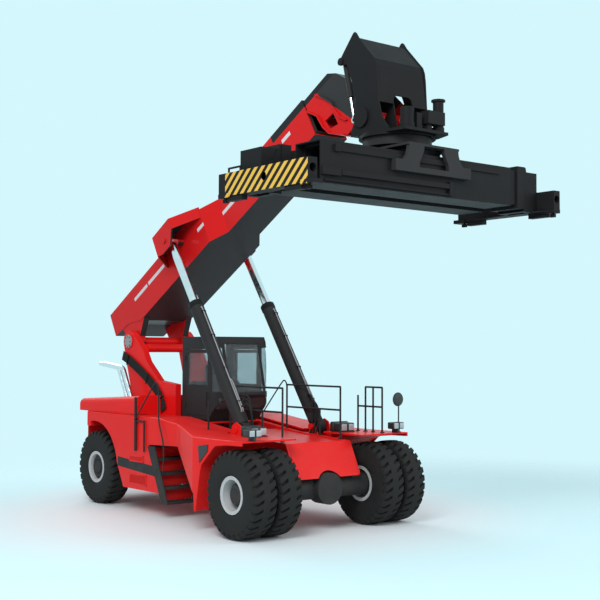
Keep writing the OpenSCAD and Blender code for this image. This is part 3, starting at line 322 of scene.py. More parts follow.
def painted(name, colour, roughness=0.34, dust=0.12, zones=None, specular=0.10):
    """Machine paint: a base colour, or colours by place, with grain, wandering gloss and road dust."""
    material, tree, shader = start_material(name, specular=specular)
    grain = use_group(tree, PAINT_GRAIN, Tone=PAINT_TONE, Base_roughness=roughness, Wander=PAINT_WANDER)
    dirt = use_group(tree, ROAD_DUST, Amount=dust).outputs["Dust"]
    base = colour if zones is None else zones(tree, colour)
    toned = scaled_tone(tree, base, grain.outputs["Tone"])
    dusty = times(tree, dirt, DUST_ROUGH)
    rough = math_node(tree, "ADD", grain.outputs["Roughness"], dusty, True)
    set_look(tree, shader, mix_colour(tree, dirt, toned, DUST_TONE), rough)
    bump(tree, shader, grain.outputs["Height"], *PAINT_SKIN)
    return material


def above(tree, value, limit):
    """1 where a value is over a limit."""
    return math_node(tree, "GREATER_THAN", value, limit)


def below(tree, value, limit):
    """1 where a value is under a limit."""
    return math_node(tree, "LESS_THAN", value, limit)


def both(tree, *masks):
    """The product of several masks."""
    total = masks[0]
    for mask in masks[1:]:
        total = times(tree, total, mask)
    return total


# The body's red and the boom's red are one red paint: the boom's copy is darker, painted shade on the boom
RED = (0.78, 0.010, 0.010, 1.0)
SHADED_BOOM_RED = (0.60, 0.010, 0.011, 1.0)
DARK_GREY = (0.030, 0.030, 0.031, 1.0)
BLACK = (0.015, 0.015, 0.016, 1.0)
PALE = (0.50, 0.51, 0.52, 1.0)
YELLOW = (0.70, 0.44, 0.08, 1.0)
STRIPE_PITCH = 0.2
DARK_HUB_R = 0.255
# Black band on the body side: its rear end, its slope along, and its lower and upper edge there
BAND_REAR = -4.95
BAND_SLOPE = -0.0667
BAND_HEIGHTS = (0.925, 1.13)
# Boom: where the black top starts along and square to it, how far down the underside faces, the rib's
# slant and place ahead of which the nose is grey, the grey's lower edge, and where the nose's top starts
BOOM_TOP = (6.2, 0.955)
UNDERSIDE = -0.5
RIB_SLANT = 0.52
RIB_AHEAD = 8.26
NOSE_LOW = -0.1
NOSE_TOP = 0.94
# Stripes: the least place across of the striped face, the height and the slope they lean by, their shift,
# and their reach from the slewing axis
STRIPE_FACE = 3.0
STRIPE_HEIGHT = 6.22
STRIPE_LEAN = 1.05
STRIPE_SHIFT = 4.0
STRIPE_REACH = (-1.2, 1.03)


def boom_place(tree, place, facing):
    """Place and facing in the boom's own frame: along the boom, square to it, and the facing square to it."""
    c, n = math.cos(BOOM_ANGLE), math.sin(BOOM_ANGLE)

    def turned(join, first, second):
        """The sum or difference of one value by the cosine and another by the sine."""
        return join(tree, times(tree, first, c), times(tree, second, n))

    x = less(tree, place.outputs["X"], PIVOT[0])
    z = less(tree, place.outputs["Z"], PIVOT[1])
    up = turned(less, facing.outputs["Z"], facing.outputs["X"])
    return turned(plus, x, z), turned(less, z, x), up


def band(tree, value, low, high):
    """1 between two limits of a value."""
    return both(tree, above(tree, value, low), below(tree, value, high))


def on_side(tree, facing):
    """1 on faces that look left or right."""
    return above(tree, math_node(tree, "ABSOLUTE", facing.outputs["Y"]), 0.9)


# Pale grey strips on the boom's sides: along from, along to, square from, square to
BOOM_STRIPS = [(0.45, 1.09, 0.80, 0.88), (1.15, 1.92, 0.80, 0.88), (3.4, 4.55, 0.71, 0.79),
               (6.45, 6.75, 0.76, 0.84)]
STRIP_TONE = (0.62, 0.63, 0.64, 1.0)


def boom_zones(tree, colour):
    """Red sides, a dark grey underside, a black band along the top of the front part, and pale strips."""
    place, facing = object_parts(tree)
    along, square, up = boom_place(tree, place, facing)
    strips = 0.0
    for a0, a1, d0, d1 in BOOM_STRIPS:
        strip = both(tree, on_side(tree, facing), band(tree, along, a0, a1), band(tree, square, d0, d1))
        strips = plus(tree, strips, strip)
    colour = mix_colour(tree, strips, colour, STRIP_TONE)
    top = both(tree, above(tree, along, BOOM_TOP[0]), above(tree, square, BOOM_TOP[1]))
    colour = mix_colour(tree, top, colour, BLACK)
    return mix_colour(tree, below(tree, up, UNDERSIDE), colour, DARK_GREY)


def nose_zones(tree, colour):
    """Red webs behind the front rib, dark grey in front of it, and a black band along the top."""
    along, square, _ = boom_place(tree, *object_parts(tree))
    ahead = plus(tree, along, times(tree, square, RIB_SLANT))
    front = both(tree, above(tree, ahead, RIB_AHEAD), above(tree, square, NOSE_LOW))
    colour = mix_colour(tree, front, colour, DARK_GREY)
    return mix_colour(tree, above(tree, square, NOSE_TOP), colour, BLACK)


def stripe_zones(tree, colour):
    """Slanted yellow stripes on the outer face of a spreader's end beam, leaning to the front tube."""
    place = object_parts(tree)[0].outputs
    face = above(tree, math_node(tree, "ABSOLUTE", place["Y"]), STRIPE_FACE)
    lift = times(tree, less(tree, place["Z"], STRIPE_HEIGHT), STRIPE_LEAN)
    across = times(tree, less(tree, place["X"], SLEW_X), math_node(tree, "SIGN", place["Y"]))
    slant = plus(tree, plus(tree, across, lift), STRIPE_SHIFT)
    phase = math_node(tree, "FRACT", math_node(tree, "DIVIDE", slant, STRIPE_PITCH))
    inside = band(tree, across, *STRIPE_REACH)
    return mix_colour(tree, both(tree, face, inside, above(tree, phase, 0.5)), colour, YELLOW)


def wheel_zones(tree, colour):
    """Pale rims with a dark hub: the distance from the wheel's own axle decides."""
    place = object_parts(tree)[0].outputs
    rear = times(tree, below(tree, place["X"], STEER_X / 2), -STEER_X)
    off = plus(tree, place["X"], rear)
    up = less(tree, place["Z"], AXLE_Z)
    far = math_node(tree, "SQRT", plus(tree, *(times(tree, value, value) for value in (off, up))))
    return mix_colour(tree, below(tree, far, DARK_HUB_R), colour, DARK_GREY)


def side_zones(tree, colour):
    """The plain black band along the lower body side, between two sloping edges, from its rear end on."""
    place, facing = object_parts(tree)
    x, z = place.outputs["X"], place.outputs["Z"]
    slope = times(tree, less(tree, x, BAND_REAR), BAND_SLOPE)
    lower, top = (plus(tree, slope, height) for height in BAND_HEIGHTS)
    inside = both(tree, on_side(tree, facing), above(tree, z, lower), below(tree, z, top),
                  above(tree, x, BAND_REAR))
    return mix_colour(tree, inside, colour, BLACK)


# Pairs of colours that a noise mixes
RUBBER_TONES = ((0.021, 0.021, 0.021, 1.0), (0.085, 0.078, 0.068, 1.0))
CHROME_TONES = ((0.70, 0.72, 0.74, 1.0), (0.80, 0.82, 0.84, 1.0))
GLASS_TONES = ((0.52, 0.58, 0.60, 1.0), (0.66, 0.72, 0.74, 1.0))
CAST_TONES = ((0.05, 0.05, 0.052, 1.0), (0.13, 0.125, 0.12, 1.0))


def noisy_look(tree, shader, noise, colours, gloss):
    """Mixes two colours by one value and spreads another's range to the roughness."""
    colour_by, gloss_by = noise
    set_look(tree, shader, mix_colour(tree, colour_by, *colours), spread(tree, gloss_by, *gloss))


def rubber_material(name, dust):
    """Tyre rubber: near black, with a dusty tread and a rough fine grain."""
    material, tree, shader = start_material(name, specular=0.1)
    cloud = noise_at(tree, 5.0, 6.0, 0.65)
    film = spread(tree, cloud, 0.4, 0.75, 0.0, dust)
    noisy_look(tree, shader, (film, cloud), RUBBER_TONES, (0.3, 0.8, 0.62, 0.86))
    bump(tree, shader, noise_at(tree, 90.0, 3.0), 0.25, 0.003)
    return material


def chrome_material(name):
    """Hard chrome with a faint smear."""
    material, tree, shader = start_material(name, metallic=1.0)
    smear = noise_at(tree, 8.0, 4.0)
    noisy_look(tree, shader, (smear, smear), CHROME_TONES, (0.3, 0.8, 0.10, 0.24))
    return material


def glass_material(name):
    """Tinted cab glass, seen through, with a thin film of dust in its gloss."""
    material, tree, shader = start_material(name)
    feed_named(tree, shader, {"Transmission Weight": 0.92, "IOR": 1.08})
    film = noise_at(tree, 3.0, 5.0)
    noisy_look(tree, shader, (film, film), GLASS_TONES, (0.3, 0.8, 0.03, 0.10))
    return material


def plastic_material(name, colour, roughness=0.5):
    """Moulded plastic with a fine stipple."""
    material, tree, shader = start_material(name)
    tone = noise_at(tree, 4.0, 4.0)
    set_look(tree, shader, scaled_tone(tree, colour, spread(tree, tone, 0.2, 0.8, 0.85, 1.15)),
             spread(tree, tone, 0.2, 0.8, roughness - 0.08, roughness + 0.08))
    bump(tree, shader, noise_at(tree, 220.0, 2.0), 0.15, 0.001)
    return material


def cast_material(name):
    """Cast iron with a sandy skin and oil stains."""
    material, tree, shader = start_material(name, metallic=0.3)
    stain = noise_at(tree, 2.0, 6.0, 0.6)
    noisy_look(tree, shader, (stain, stain), CAST_TONES, (0.3, 0.7, 0.45, 0.75))
    bump(tree, shader, noise_at(tree, 70.0, 4.0), 0.4, 0.003)
    return material


MATERIALS = {
    "red_paint": painted("red_paint_look", RED),
    # The boom's and the nose's looks take the darker copy of the red, painted shade
    "boom_paint": painted("boom_paint_look", SHADED_BOOM_RED, zones=boom_zones, dust=0.05),
    "nose_paint": painted("nose_paint_look", SHADED_BOOM_RED, zones=nose_zones, dust=0.05),
    "side_paint": painted("side_paint_look", RED, zones=side_zones),
    "dark_grey_paint": painted("dark_grey_look", DARK_GREY, roughness=0.5, specular=0.06),
    "black_paint": painted("black_paint_look", BLACK, roughness=0.5, specular=0.05, dust=0.08),
    "stripe_paint": painted("stripe_paint_look", BLACK, roughness=0.5, specular=0.05, zones=stripe_zones,
                            dust=0.05),
    "pale_paint": painted("pale_paint_look", PALE, roughness=0.36, dust=0.2, zones=wheel_zones),
    "tyre_rubber": rubber_material("tyre_rubber_look", 0.12),
    "hose_rubber": rubber_material("hose_rubber_look", 0.1),
    "chrome_rod": chrome_material("chrome_look"),
    "window_glass": glass_material("window_glass_look"),
    "black_plastic": plastic_material("black_plastic_look", (0.018, 0.018, 0.019, 1.0)),
    "seat_fabric": plastic_material("seat_fabric_look", (0.028, 0.028, 0.030, 1.0), 0.8),
    "engine_iron": cast_material("engine_iron_look"),
    "lamp_lens": plastic_material("lamp_lens_look", (0.42, 0.45, 0.47, 1.0), 0.16),
    "disc_paint": painted("disc_paint_look", (0.30, 0.30, 0.30, 1.0), roughness=0.4, dust=0.2),
    "rim_edge": painted("rim_edge_look", (0.56, 0.57, 0.58, 1.0), roughness=0.34, dust=0.1),
    "pale_steel": painted("pale_steel_look", (0.34, 0.35, 0.36, 1.0), roughness=0.3, dust=0.1),
    "mirror_glass": chrome_material("mirror_glass_look"),
}
# Nodes whose look differs from their slot's
SPECIAL = {
    "boom_outer": "boom_paint", "boom_inner": "dark_grey_paint", "boom_nose": "nose_paint",
    "body_panels": "side_paint", "spreader_arm_left": "stripe_paint", "spreader_arm_right": "stripe_paint",
}


def dress_nodes():
    """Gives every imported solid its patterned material."""
    slots = {s["node"]: s["material_slot"] for s in frame["record"]["subparts"]}
    for name, node in NODES.items():
        look = MATERIALS[SPECIAL.get(name, slots[name])]
        node.data.materials.clear()
        node.data.materials.append(look)


# Shapes: surfaces worked out as whole arrays

def grid_faces(rows, columns, wrap_rows=False, wrap_columns=False):
    """Quads of a grid of points: rows by columns, each way open or closed on itself."""
    r = np.arange(rows if wrap_rows else rows - 1)
    c = np.arange(columns if wrap_columns else columns - 1)
    r, c = (axis.ravel() for axis in np.meshgrid(r, c, indexing="ij"))
    r1, c1 = (r + 1) % rows, (c + 1) % columns
    return np.stack([r * columns + c, r1 * columns + c, r1 * columns + c1, r * columns + c1], axis=1)


def joined(parts):
    """Several point and face arrays as one, the face numbers shifted by the points before them."""
    starts = np.cumsum([0] + [len(points) for points, _ in parts[:-1]])
    points = np.concatenate([np.asarray(points, float).reshape(-1, 3) for points, _ in parts])
    faces = [[start + i for i in face] for start, (_, sides) in zip(starts.tolist(), parts) for face in sides]
    return points, faces


def make_piece(name, shape, look, body="chassis", sharp=35.0):
    """Puts a shape into a new piece that rides on a body, with sharp edges past an angle."""
    points, faces = shape
    mesh = bpy.data.meshes.new(name)
    mesh.from_pydata(np.asarray(points, float).tolist(), [], [list(face) for face in faces])
    mesh.validate()
    mesh.shade_smooth()
    mesh.set_sharp_from_angle(angle=math.radians(sharp))
    mesh.materials.append(MATERIALS[look])
    piece = placed(name, mesh)
    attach(piece, body)
    return piece


def turned_over(faces):
    """Faces run the other way round."""
    return [list(face)[::-1] for face in faces]


def ring_faces(rows, columns, turn_sides=True, turn_caps=False):
    """Faces of rings in a row and a flat cap on the first and the last ring, each kind turned over or not."""
    last = (rows - 1) * columns
    sides = grid_faces(rows, columns, wrap_columns=True).tolist()
    caps = [list(range(columns))[::-1], list(range(last, last + columns))]
    return (turned_over(sides) if turn_sides else sides) + (turned_over(caps) if turn_caps else caps)


def eased_path(points, count):
    """A smooth path through points, by the Catmull-Rom cubic, sampled evenly in its parameter."""
    p = np.asarray(points, float)
    p = np.concatenate([[2 * p[0] - p[1]], p, [2 * p[-1] - p[-2]]])
    t = np.linspace(0, len(p) - 3 - 1e-9, count)
    i = t.astype(int)
    f = (t - i)[:, None]
    a, b, c, d = p[i], p[i + 1], p[i + 2], p[i + 3]
    return 0.5 * (2 * b + (c - a) * f + (2 * a - 5 * b + 4 * c - d) * f ** 2
                  + (3 * b - a - 3 * c + d) * f ** 3)


def upright_normals(line):
    """Unit vectors square to a line in an upright plane, downwards where the line runs forwards."""
    way = np.gradient(line, axis=0)
    normal = np.stack([way[:, 2], 0 * way[:, 0], -way[:, 0]], axis=1)
    return normal / np.linalg.norm(normal, axis=1)[:, None]


def tube_shape(path, radius, sides=12):
    """A round tube with flat ends: circles of one radius, or of one a path point, set square to the path."""
    p = np.asarray(path, float)
    way = np.gradient(p, axis=0)
    way /= np.linalg.norm(way, axis=1)[:, None]
    side = np.cross(way, (0.31, 0.87, 0.38))
    side /= np.linalg.norm(side, axis=1)[:, None]
    over = np.cross(side, way)
    r = np.broadcast_to(np.asarray(radius, float), (len(p),))
    angle = np.linspace(0, 2 * np.pi, sides, endpoint=False)
    ring = side[:, None] * np.cos(angle)[None, :, None] + over[:, None] * np.sin(angle)[None, :, None]
    points = (p[:, None] + ring * r[:, None, None]).reshape(-1, 3)
    return points, ring_faces(len(p), sides, turn_caps=True)


def turned_shape(profile, centre, axis="y", count=48, closed=False):
    """A profile of (along, radius) pairs turned about an axis through a centre."""
    along, radius = np.asarray(profile, float).T
    angle = np.linspace(0, 2 * np.pi, count, endpoint=False)
    u = radius[:, None] * np.cos(angle)
    v = radius[:, None] * np.sin(angle)
    w = np.broadcast_to(along[:, None], u.shape)
    order = {"x": (w, u, v), "y": (v, w, u), "z": (u, v, w)}[axis]
    points = np.stack(order, axis=-1).reshape(-1, 3) + np.asarray(centre, float)
    if closed:
        return points, turned_over(grid_faces(len(along), count, True, True).tolist())
    return points, ring_faces(len(along), count)


def turned_out(profile, centre, side, count, closed=False):
    """A profile turned about Y and measured outwards from its centre, on one side (1 left, -1 right)."""
    points, faces = turned_shape([(side * a, r) for a, r in profile], centre, "y", count, closed)
    return points, faces if side > 0 else turned_over(faces)


def circle(centre, radius, count):
    """Places evenly round a circle that faces along Y."""
    x, y, z = centre
    angles = np.arange(count) * 2 * math.pi / count
    return [(x + radius * math.cos(a), y, z + radius * math.sin(a)) for a in angles]


def rounded_block(low, high, radius, steps=4):
    """A block with rounded edges: the points of a sphere pushed apart to the corners of a smaller block."""
    low, high = np.asarray(low, float), np.asarray(high, float)
    u = np.linspace(-np.pi / 2, np.pi / 2, 2 * steps)
    v = np.concatenate([q * np.pi / 2 + np.linspace(0, np.pi / 2, steps) for q in range(4)])
    u, v = np.meshgrid(u, v, indexing="ij")
    ball = np.stack([np.cos(u) * np.cos(v), np.cos(u) * np.sin(v), np.sin(u)], axis=-1)
    quarter = (np.arange(v.shape[1]) // steps)[None, :]
    sign_x = np.where((quarter == 0) | (quarter == 3), 1.0, -1.0) + 0 * u
    sign_y = np.where(quarter < 2, 1.0, -1.0) + 0 * u
    sign_z = np.where(np.arange(u.shape[0]) < steps, -1.0, 1.0)[:, None] + 0 * u
    core = (high - low) / 2 - radius
    points = (low + high) / 2 + radius * ball + core * np.stack([sign_x, sign_y, sign_z], axis=-1)
    return points.reshape(-1, 3), ring_faces(*u.shape)


def bolt_heads(places, facing, radius, height):
    """Hexagonal heads with a chamfered top: three rings of six points and a flat crown on each place."""
    facing = np.asarray(facing, float)
    side = np.cross(facing, (0.0, 0.0, 1.0))
    over = np.cross(facing, side)
    angle = np.arange(6) * np.pi / 3
    hexagon = np.cos(angle)[:, None] * side + np.sin(angle)[:, None] * over
    rings = np.stack([hexagon * radius * scale + facing * height * rise
                      for scale, rise in ((1.0, 0.0), (1.0, 0.75), (0.86, 1.0))])
    places = np.asarray(places, float).reshape(-1, 3)
    points = (places[:, None, None] + rings[None]).reshape(-1, 3)
    one = grid_faces(3, 6, wrap_columns=True).tolist() + [[12, 13, 14, 15, 16, 17]]
    faces = [[k * 18 + i for i in face] for k in range(len(places)) for face in one]
    return points, faces


def plate_shape(outline, y, thick):
    """A flat upright plate: an outline of (along, up) pairs, its middle at a place across."""
    outline = np.asarray(outline, float)
    flat = np.stack([outline[:, 0], 0 * outline[:, 0] + y, outline[:, 1]], axis=1)
    half = np.array((0.0, thick / 2, 0.0))
    points = np.concatenate([flat + half, flat - half])
    n = len(outline)
    faces = [[i, (i + 1) % n, n + (i + 1) % n, n + i] for i in range(n)]
    return points, faces + [list(range(n))[::-1], list(range(n, 2 * n))]


# Tyres: slots from both shoulders into a smooth middle band, staggered side to side

SLOTS = 30
# Half of the tyre's section, from the bead to the middle of the tread: place across, radius, share of
# the slots' depth
TYRE_SECTION = [
    (0.195, 0.331, 0), (0.212, 0.345, 0), (0.222, 0.375, 0), (0.231, 0.392, 0), (0.236, 0.400, 0),
    (0.241, 0.430, 0), (0.247, 0.500, 0), (0.249, 0.560, 0), (0.2485, 0.620, 0), (0.246, 0.662, 0),
    (0.244, 0.670, 0), (0.247, 0.676, 0), (0.2455, 0.700, 0), (0.244, 0.712, 0.6), (0.241, 0.735, 0.9),
    (0.235, 0.768, 1), (0.224, 0.786, 1), (0.205, 0.797, 1), (0.170, 0.803, 1), (0.120, 0.807, 1),
    (0.078, 0.8085, 1), (0.070, 0.8087, 0), (0.045, 0.8095, 0), (0.0, 0.810, 0)]
# Places of the grid's columns in one pitch and how deep the left and the right slots are there
PITCH = [(0.00, 1, 0), (0.13, 1, 0), (0.17, 0.9, 0), (0.20, 0, 0), (0.25, 0, 0), (0.30, 0, 0), (0.33, 0, 0.9),
         (0.37, 0, 1), (0.50, 0, 1), (0.63, 0, 1), (0.67, 0, 0.9), (0.70, 0, 0), (0.75, 0, 0), (0.80, 0, 0),
         (0.83, 0.9, 0), (0.87, 1, 0)]
SLOT_DEPTH = 0.052
SLOT_SLANT = 0.8


def tyre_shape(x, y, z):
    """A tyre: section radius less the slot's depth, turned about Y, each column slanted across the tread."""
    half = np.array(TYRE_SECTION)
    section = np.concatenate([half * (-1, 1, 1), half[-2::-1]])
    across, radius, share = section.T
    pitch = np.array(PITCH)
    turn = ((np.arange(SLOTS)[:, None] + pitch[:, 0]).ravel()) / SLOTS * 2 * np.pi
    left = np.tile(pitch[:, 1], SLOTS)
    right = np.tile(pitch[:, 2], SLOTS)
    depth = np.where(across[:, None] < 0, left, right) * share[:, None] * SLOT_DEPTH
    side = np.clip((radius - 0.70) / 0.10, 0, 1)
    r = radius[:, None] - depth * (0.25 + 0.75 * side[:, None])
    y_in = across[:, None] - np.sign(across)[:, None] * depth * (1 - side[:, None]) * 0.35
    angle = turn + SLOT_SLANT * across[:, None] * np.clip((radius[:, None] - 0.6) / 0.12, 0, 1) * 0.8
    points = np.stack([x + r * np.cos(angle), y + y_in + 0 * angle, z + r * np.sin(angle)], axis=-1)
    return points.reshape(-1, 3), grid_faces(len(section), len(turn), True, True).tolist()


def make_tyres():
    """Slotted tyres in place of the lugged ones: twins on the drive axle, single ones on the steered axle."""
    for name, body, x, places in (
            ("drive_tyres_left", "drive_wheel_left", 0.0, DRIVE_TYRES_Y),
            ("drive_tyres_right", "drive_wheel_right", 0.0, [-y for y in DRIVE_TYRES_Y]),
            ("steer_tyre_left", "steer_wheel_left", STEER_X, [STEER_TYRE_Y]),
            ("steer_tyre_right", "steer_wheel_right", STEER_X, [-STEER_TYRE_Y])):
        shape = joined([tyre_shape(x, y, AXLE_Z) for y in places])
        piece = make_piece(name.replace("tyre", "treaded_tyre"), shape, "tyre_rubber", body, sharp=32.0)
        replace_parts(piece, name)


# Body sides, deck and fenders

SKIN_REAR = -3.64
FRAME_SIDE = 0.80
BODY_SIDE = 1.605
FENDER_SIDE = 2.05
DECK_Z = 1.79
SHEET = 0.03
EDGE_R = 0.03
# Fender arch over the drive wheels: place along, height
FENDER_ARCH = [(-1.21, 0.41), (-1.15, 0.75), (-1.03, 1.26), (-0.85, 1.50), (-0.55, 1.68), (-0.15, 1.775),
               (0.30, 1.79)]
# Lower edge of the body's side ahead of the steps: place along, height
SKIN_EDGE = [(-3.73, 1.458), (-2.53, 1.496), (-1.257, 0.72), (-1.24, 0.38), (-1.21, 0.40), (-1.03, 1.25),
             (-0.55, 1.66), (-0.15, 1.70), (0.30, 1.71)]
# Cut in the deck round a lift cylinder's foot: from, to, inner side
CYLINDER_CUT = (-1.52, -0.86, 1.12)
# The side's flare: start and length. The top's fall: start, length and the height before it
FLARE = (-2.53, 1.23)
FALL = (-3.3, 2.0, 2.03)
# Dark cover ahead of the steps: along and up
COVER = [(-1.087, 1.629), (-0.768, 1.676), (-0.778, 1.546), (-1.047, 1.317)]


def mirrored(shape, side):
    """A shape on the machine's right (side -1) or its mirror on the left, its faces turned to match."""
    points, faces = shape
    if side < 0:
        return points, faces
    return np.asarray(points, float) * (1, -1, 1), turned_over(faces)


def swept_loops(loops):
    """A closed shell through loops of equal length, one a station, capped at both ends."""
    loops = np.asarray(loops, float)
    return loops.reshape(-1, 3), ring_faces(*loops.shape[:2], turn_sides=False)


def body_skin():
    """The right body side: everywhere along, a sheet up the side, round the top edge and in to the frame."""
    cut_rear, cut_front, cut_side = CYLINDER_CUT
    x = np.unique(np.concatenate([np.linspace(SKIN_REAR, 0.30, 90), [-1.257, -1.24, -1.21, -1.03],
                                  [cut_rear, cut_rear + 0.002, cut_front, cut_front + 0.002]]))[:, None]
    out = BODY_SIDE + (FENDER_SIDE - BODY_SIDE) * np.clip((x - FLARE[0]) / FLARE[1], 0, 1)
    top = FALL[2] - (FALL[2] - DECK_Z) * np.clip((x - FALL[0]) / FALL[1], 0, 1)
    edge = np.interp(x, *np.array(SKIN_EDGE).T)
    inner = np.where((x > cut_rear) & (x < cut_front + 0.001), cut_side, FRAME_SIDE + 0.005)
    bend = np.linspace(0, np.pi / 2, 5)[None, :]
    arc_y = out - EDGE_R + EDGE_R * np.cos(bend)
    arc_z = top - EDGE_R + EDGE_R * np.sin(bend)
    y = np.concatenate([out - SHEET, out, arc_y, inner, inner, out - SHEET], axis=1)
    z = np.concatenate([edge, edge, arc_z, top, top - SHEET, np.maximum(top - SHEET, edge + 0.005)], axis=1)
    return swept_loops(np.stack([np.broadcast_to(x, y.shape), -y, z], axis=-1))


def fender_shell():
    """The right wheel cover: the arch's smooth line carried across, with a sheet's thickness below it."""
    line = eased_path([(a, 0.0, z) for a, z in FENDER_ARCH], 60)
    low, high = -(FENDER_SIDE - 0.002), -(FRAME_SIDE + 0.05)
    loops = [[(a[0], low, a[2] - 0.002), (a[0], high, a[2] - 0.002), (b[0], high, b[2]), (b[0], low, b[2])]
             for a, b in zip(line, line + upright_normals(line) * SHEET)]
    return swept_loops(loops)


def make_sides():
    """Body sides with the deck and the wheel covers on both sides, in place of the plain ones."""
    skin = joined([mirrored(body_skin(), side) for side in (-1, 1)])
    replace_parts(make_piece("side_skins", skin, "red_paint", sharp=38.0), "mudguards")
    shells = joined([mirrored(fender_shell(), side) for side in (-1, 1)])
    make_piece("wheel_covers", shells, "red_paint", sharp=30.0)
    covers = joined([plate_shape(COVER, side * 2.055, 0.02) for side in (-1, 1)])
    make_piece("side_covers", covers, "black_plastic")


# Steps: a stringer's outline and the lower rear corner of each tread, along and up
STRINGER = [(-3.66, 1.43), (-3.38, 1.43), (-2.86, 0.31), (-3.11, 0.31)]
TREADS = [(-3.15 - 0.125 * i, 0.32 + 0.285 * i) for i in range(4)]
GRIPS = 9


def make_steps():
    """Steps on both sides: wide stringers, thin treads with a turned-down nose, and red risers."""
    dark, red = [], []
    for side in (-1, 1):
        for y in (BODY_SIDE + 0.012, FRAME_SIDE + 0.055):
            dark.append(plate_shape(STRINGER, side * y, 0.022))
        y0, y1 = sorted((side * (FRAME_SIDE + 0.07), side * (BODY_SIDE - 0.002)))
        for x, z in TREADS:
            dark.append(rounded_block((x, y0, z), (x + 0.25, y1, z + 0.026), 0.006))
            dark.append(rounded_block((x + 0.236, y0, z - 0.03), (x + 0.25, y1, z + 0.01), 0.005))
            for k in range(GRIPS):
                grip = y0 + (y1 - y0) * (k + 0.5) / GRIPS
                low, high = (x + 0.02, grip - 0.012, z + 0.026), (x + 0.225, grip + 0.012, z + 0.034)
                dark.append(rounded_block(low, high, 0.003))
            red.append(rounded_block((x - 0.006, y0, z + 0.03), (x + 0.006, y1, z + 0.25), 0.004))
        dark.append(rounded_block((-3.65, y0, 1.405), (-3.40, y1, 1.432), 0.006))
    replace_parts(make_piece("stair_treads", joined(dark), "dark_grey_paint"), "access_steps")
    make_piece("stair_risers", joined(red), "red_paint")


# Centre line of the bent handrail by the right steps, and the hoop over it
STAIR_HOOP = [
    (-4.10, 1.66, 1.98), (-3.60, 1.66, 2.48), (-3.37, 1.66, 2.70), (-3.28, 1.66, 2.755), (-3.20, 1.66, 2.69),
    (-3.18, 1.66, 2.50), (-3.18, 1.66, 2.10), (-3.14, 1.66, 1.90), (-3.02, 1.67, 1.66), (-2.96, 1.67, 1.45),
    (-2.95, 1.67, 1.15), (-2.98, 1.66, 0.98), (-3.03, 1.63, 0.93)]
# Deck posts: place along and across, height of what they stand on. A post's foot: up, radius
DECK_POSTS = [(-0.23, 0.72, 1.69), (-0.87, 0.72, 1.69), (-0.23, -0.72, 1.69), (-0.87, -0.72, 1.69),
              (-0.59, 1.5, DECK_Z), (-0.36, 1.5, DECK_Z), (-0.13, 1.5, DECK_Z), (0.14, 1.5, DECK_Z)]
POST_FOOT = [(0, 0.045), (0.01, 0.045), (0.014, 0.04), (0.018, 0.024), (0.05, 0.022)]


def make_handrails():
    """Thin bent rails by the steps and round feet under every deck post."""
    path = eased_path([(x, -y, z) for x, y, z in STAIR_HOOP], 90)
    rails = joined([mirrored(tube_shape(path, 0.015, 10), side) for side in (-1, 1)])
    feet = joined([turned_shape(POST_FOOT, place, "z", 20) for place in DECK_POSTS])
    make_piece("bent_handrails", rails, "dark_grey_paint")
    make_piece("rail_feet", feet, "dark_grey_paint")


# Louvre panels on the body sides: low and high corner, each along and up, and the slats
GRILLES = [((-4.44, 1.075), (-3.86, 1.185), 5), ((-4.42, 0.60), (-3.74, 0.80), 12)]
# A slat's section: out from the side, up as a share of the slats' spacing
SLAT = [(-0.007, -0.27), (0.007, 0.27), (0.007, 0.54), (-0.007, 0.0)]
FRAME_BAR = np.array((0.012, 0.008, 0.012))


def louvre_panel(low, high, y, rows):
    """Slats in a frame: each slat a flat bar tipped down and out, spaced evenly up the panel."""
    (x0, z0), (x1, z1) = low, high
    step = (z1 - z0) / rows
    parts = [swept_loops([[(x, y - out, z0 + step * (k + 0.5 + up)) for out, up in SLAT] for x in (x0, x1)])
             for k in range(rows)]
    for a, b in (((x0, z0), (x0, z1)), ((x1, z0), (x1, z1)), ((x0, z0), (x1, z0)), ((x0, z1), (x1, z1))):
        ends = [np.array((x, y, z)) for x, z in (a, b)]
        parts.append(rounded_block(ends[0] - FRAME_BAR, ends[1] + FRAME_BAR, 0.004))
    return joined(parts)


def make_grilles():
    """Louvre panels on both body sides."""
    parts = [mirrored(louvre_panel(low, high, -(BODY_SIDE - 0.002), rows), side)
             for low, high, rows in GRILLES for side in (-1, 1)]
    make_piece("side_louvres", joined(parts), "red_paint")


# Lamps and mirror

def lamp_shape(centre, size, rim):
    """A lamp's housing from its front's centre and its size, and its lens inside the rim's width."""
    x, y, z = centre
    deep, wide, high = size
    low, top = (y - wide / 2, z - high / 2), (y + wide / 2, z + high / 2)
    shell = rounded_block((x - deep, *low), (x, *top), min(size) * 0.16, 5)
    glass = rounded_block((x - 0.004, low[0] + rim, low[1] + rim),
                          (x + 0.010, top[0] - rim, top[1] - rim), 0.006)
    return shell, glass


# Lamps on each side: front's place along, across and up, size, width of the rim
DECK_LAMPS = [(0.345, y, 1.93, (0.19, 0.138, 0.135), 0.013) for y in (1.695, 1.845)]
DECK_LAMPS += [(-0.45, y, 1.885, (0.26, 0.18, 0.17), 0.02) for y in (1.01, 1.20)]


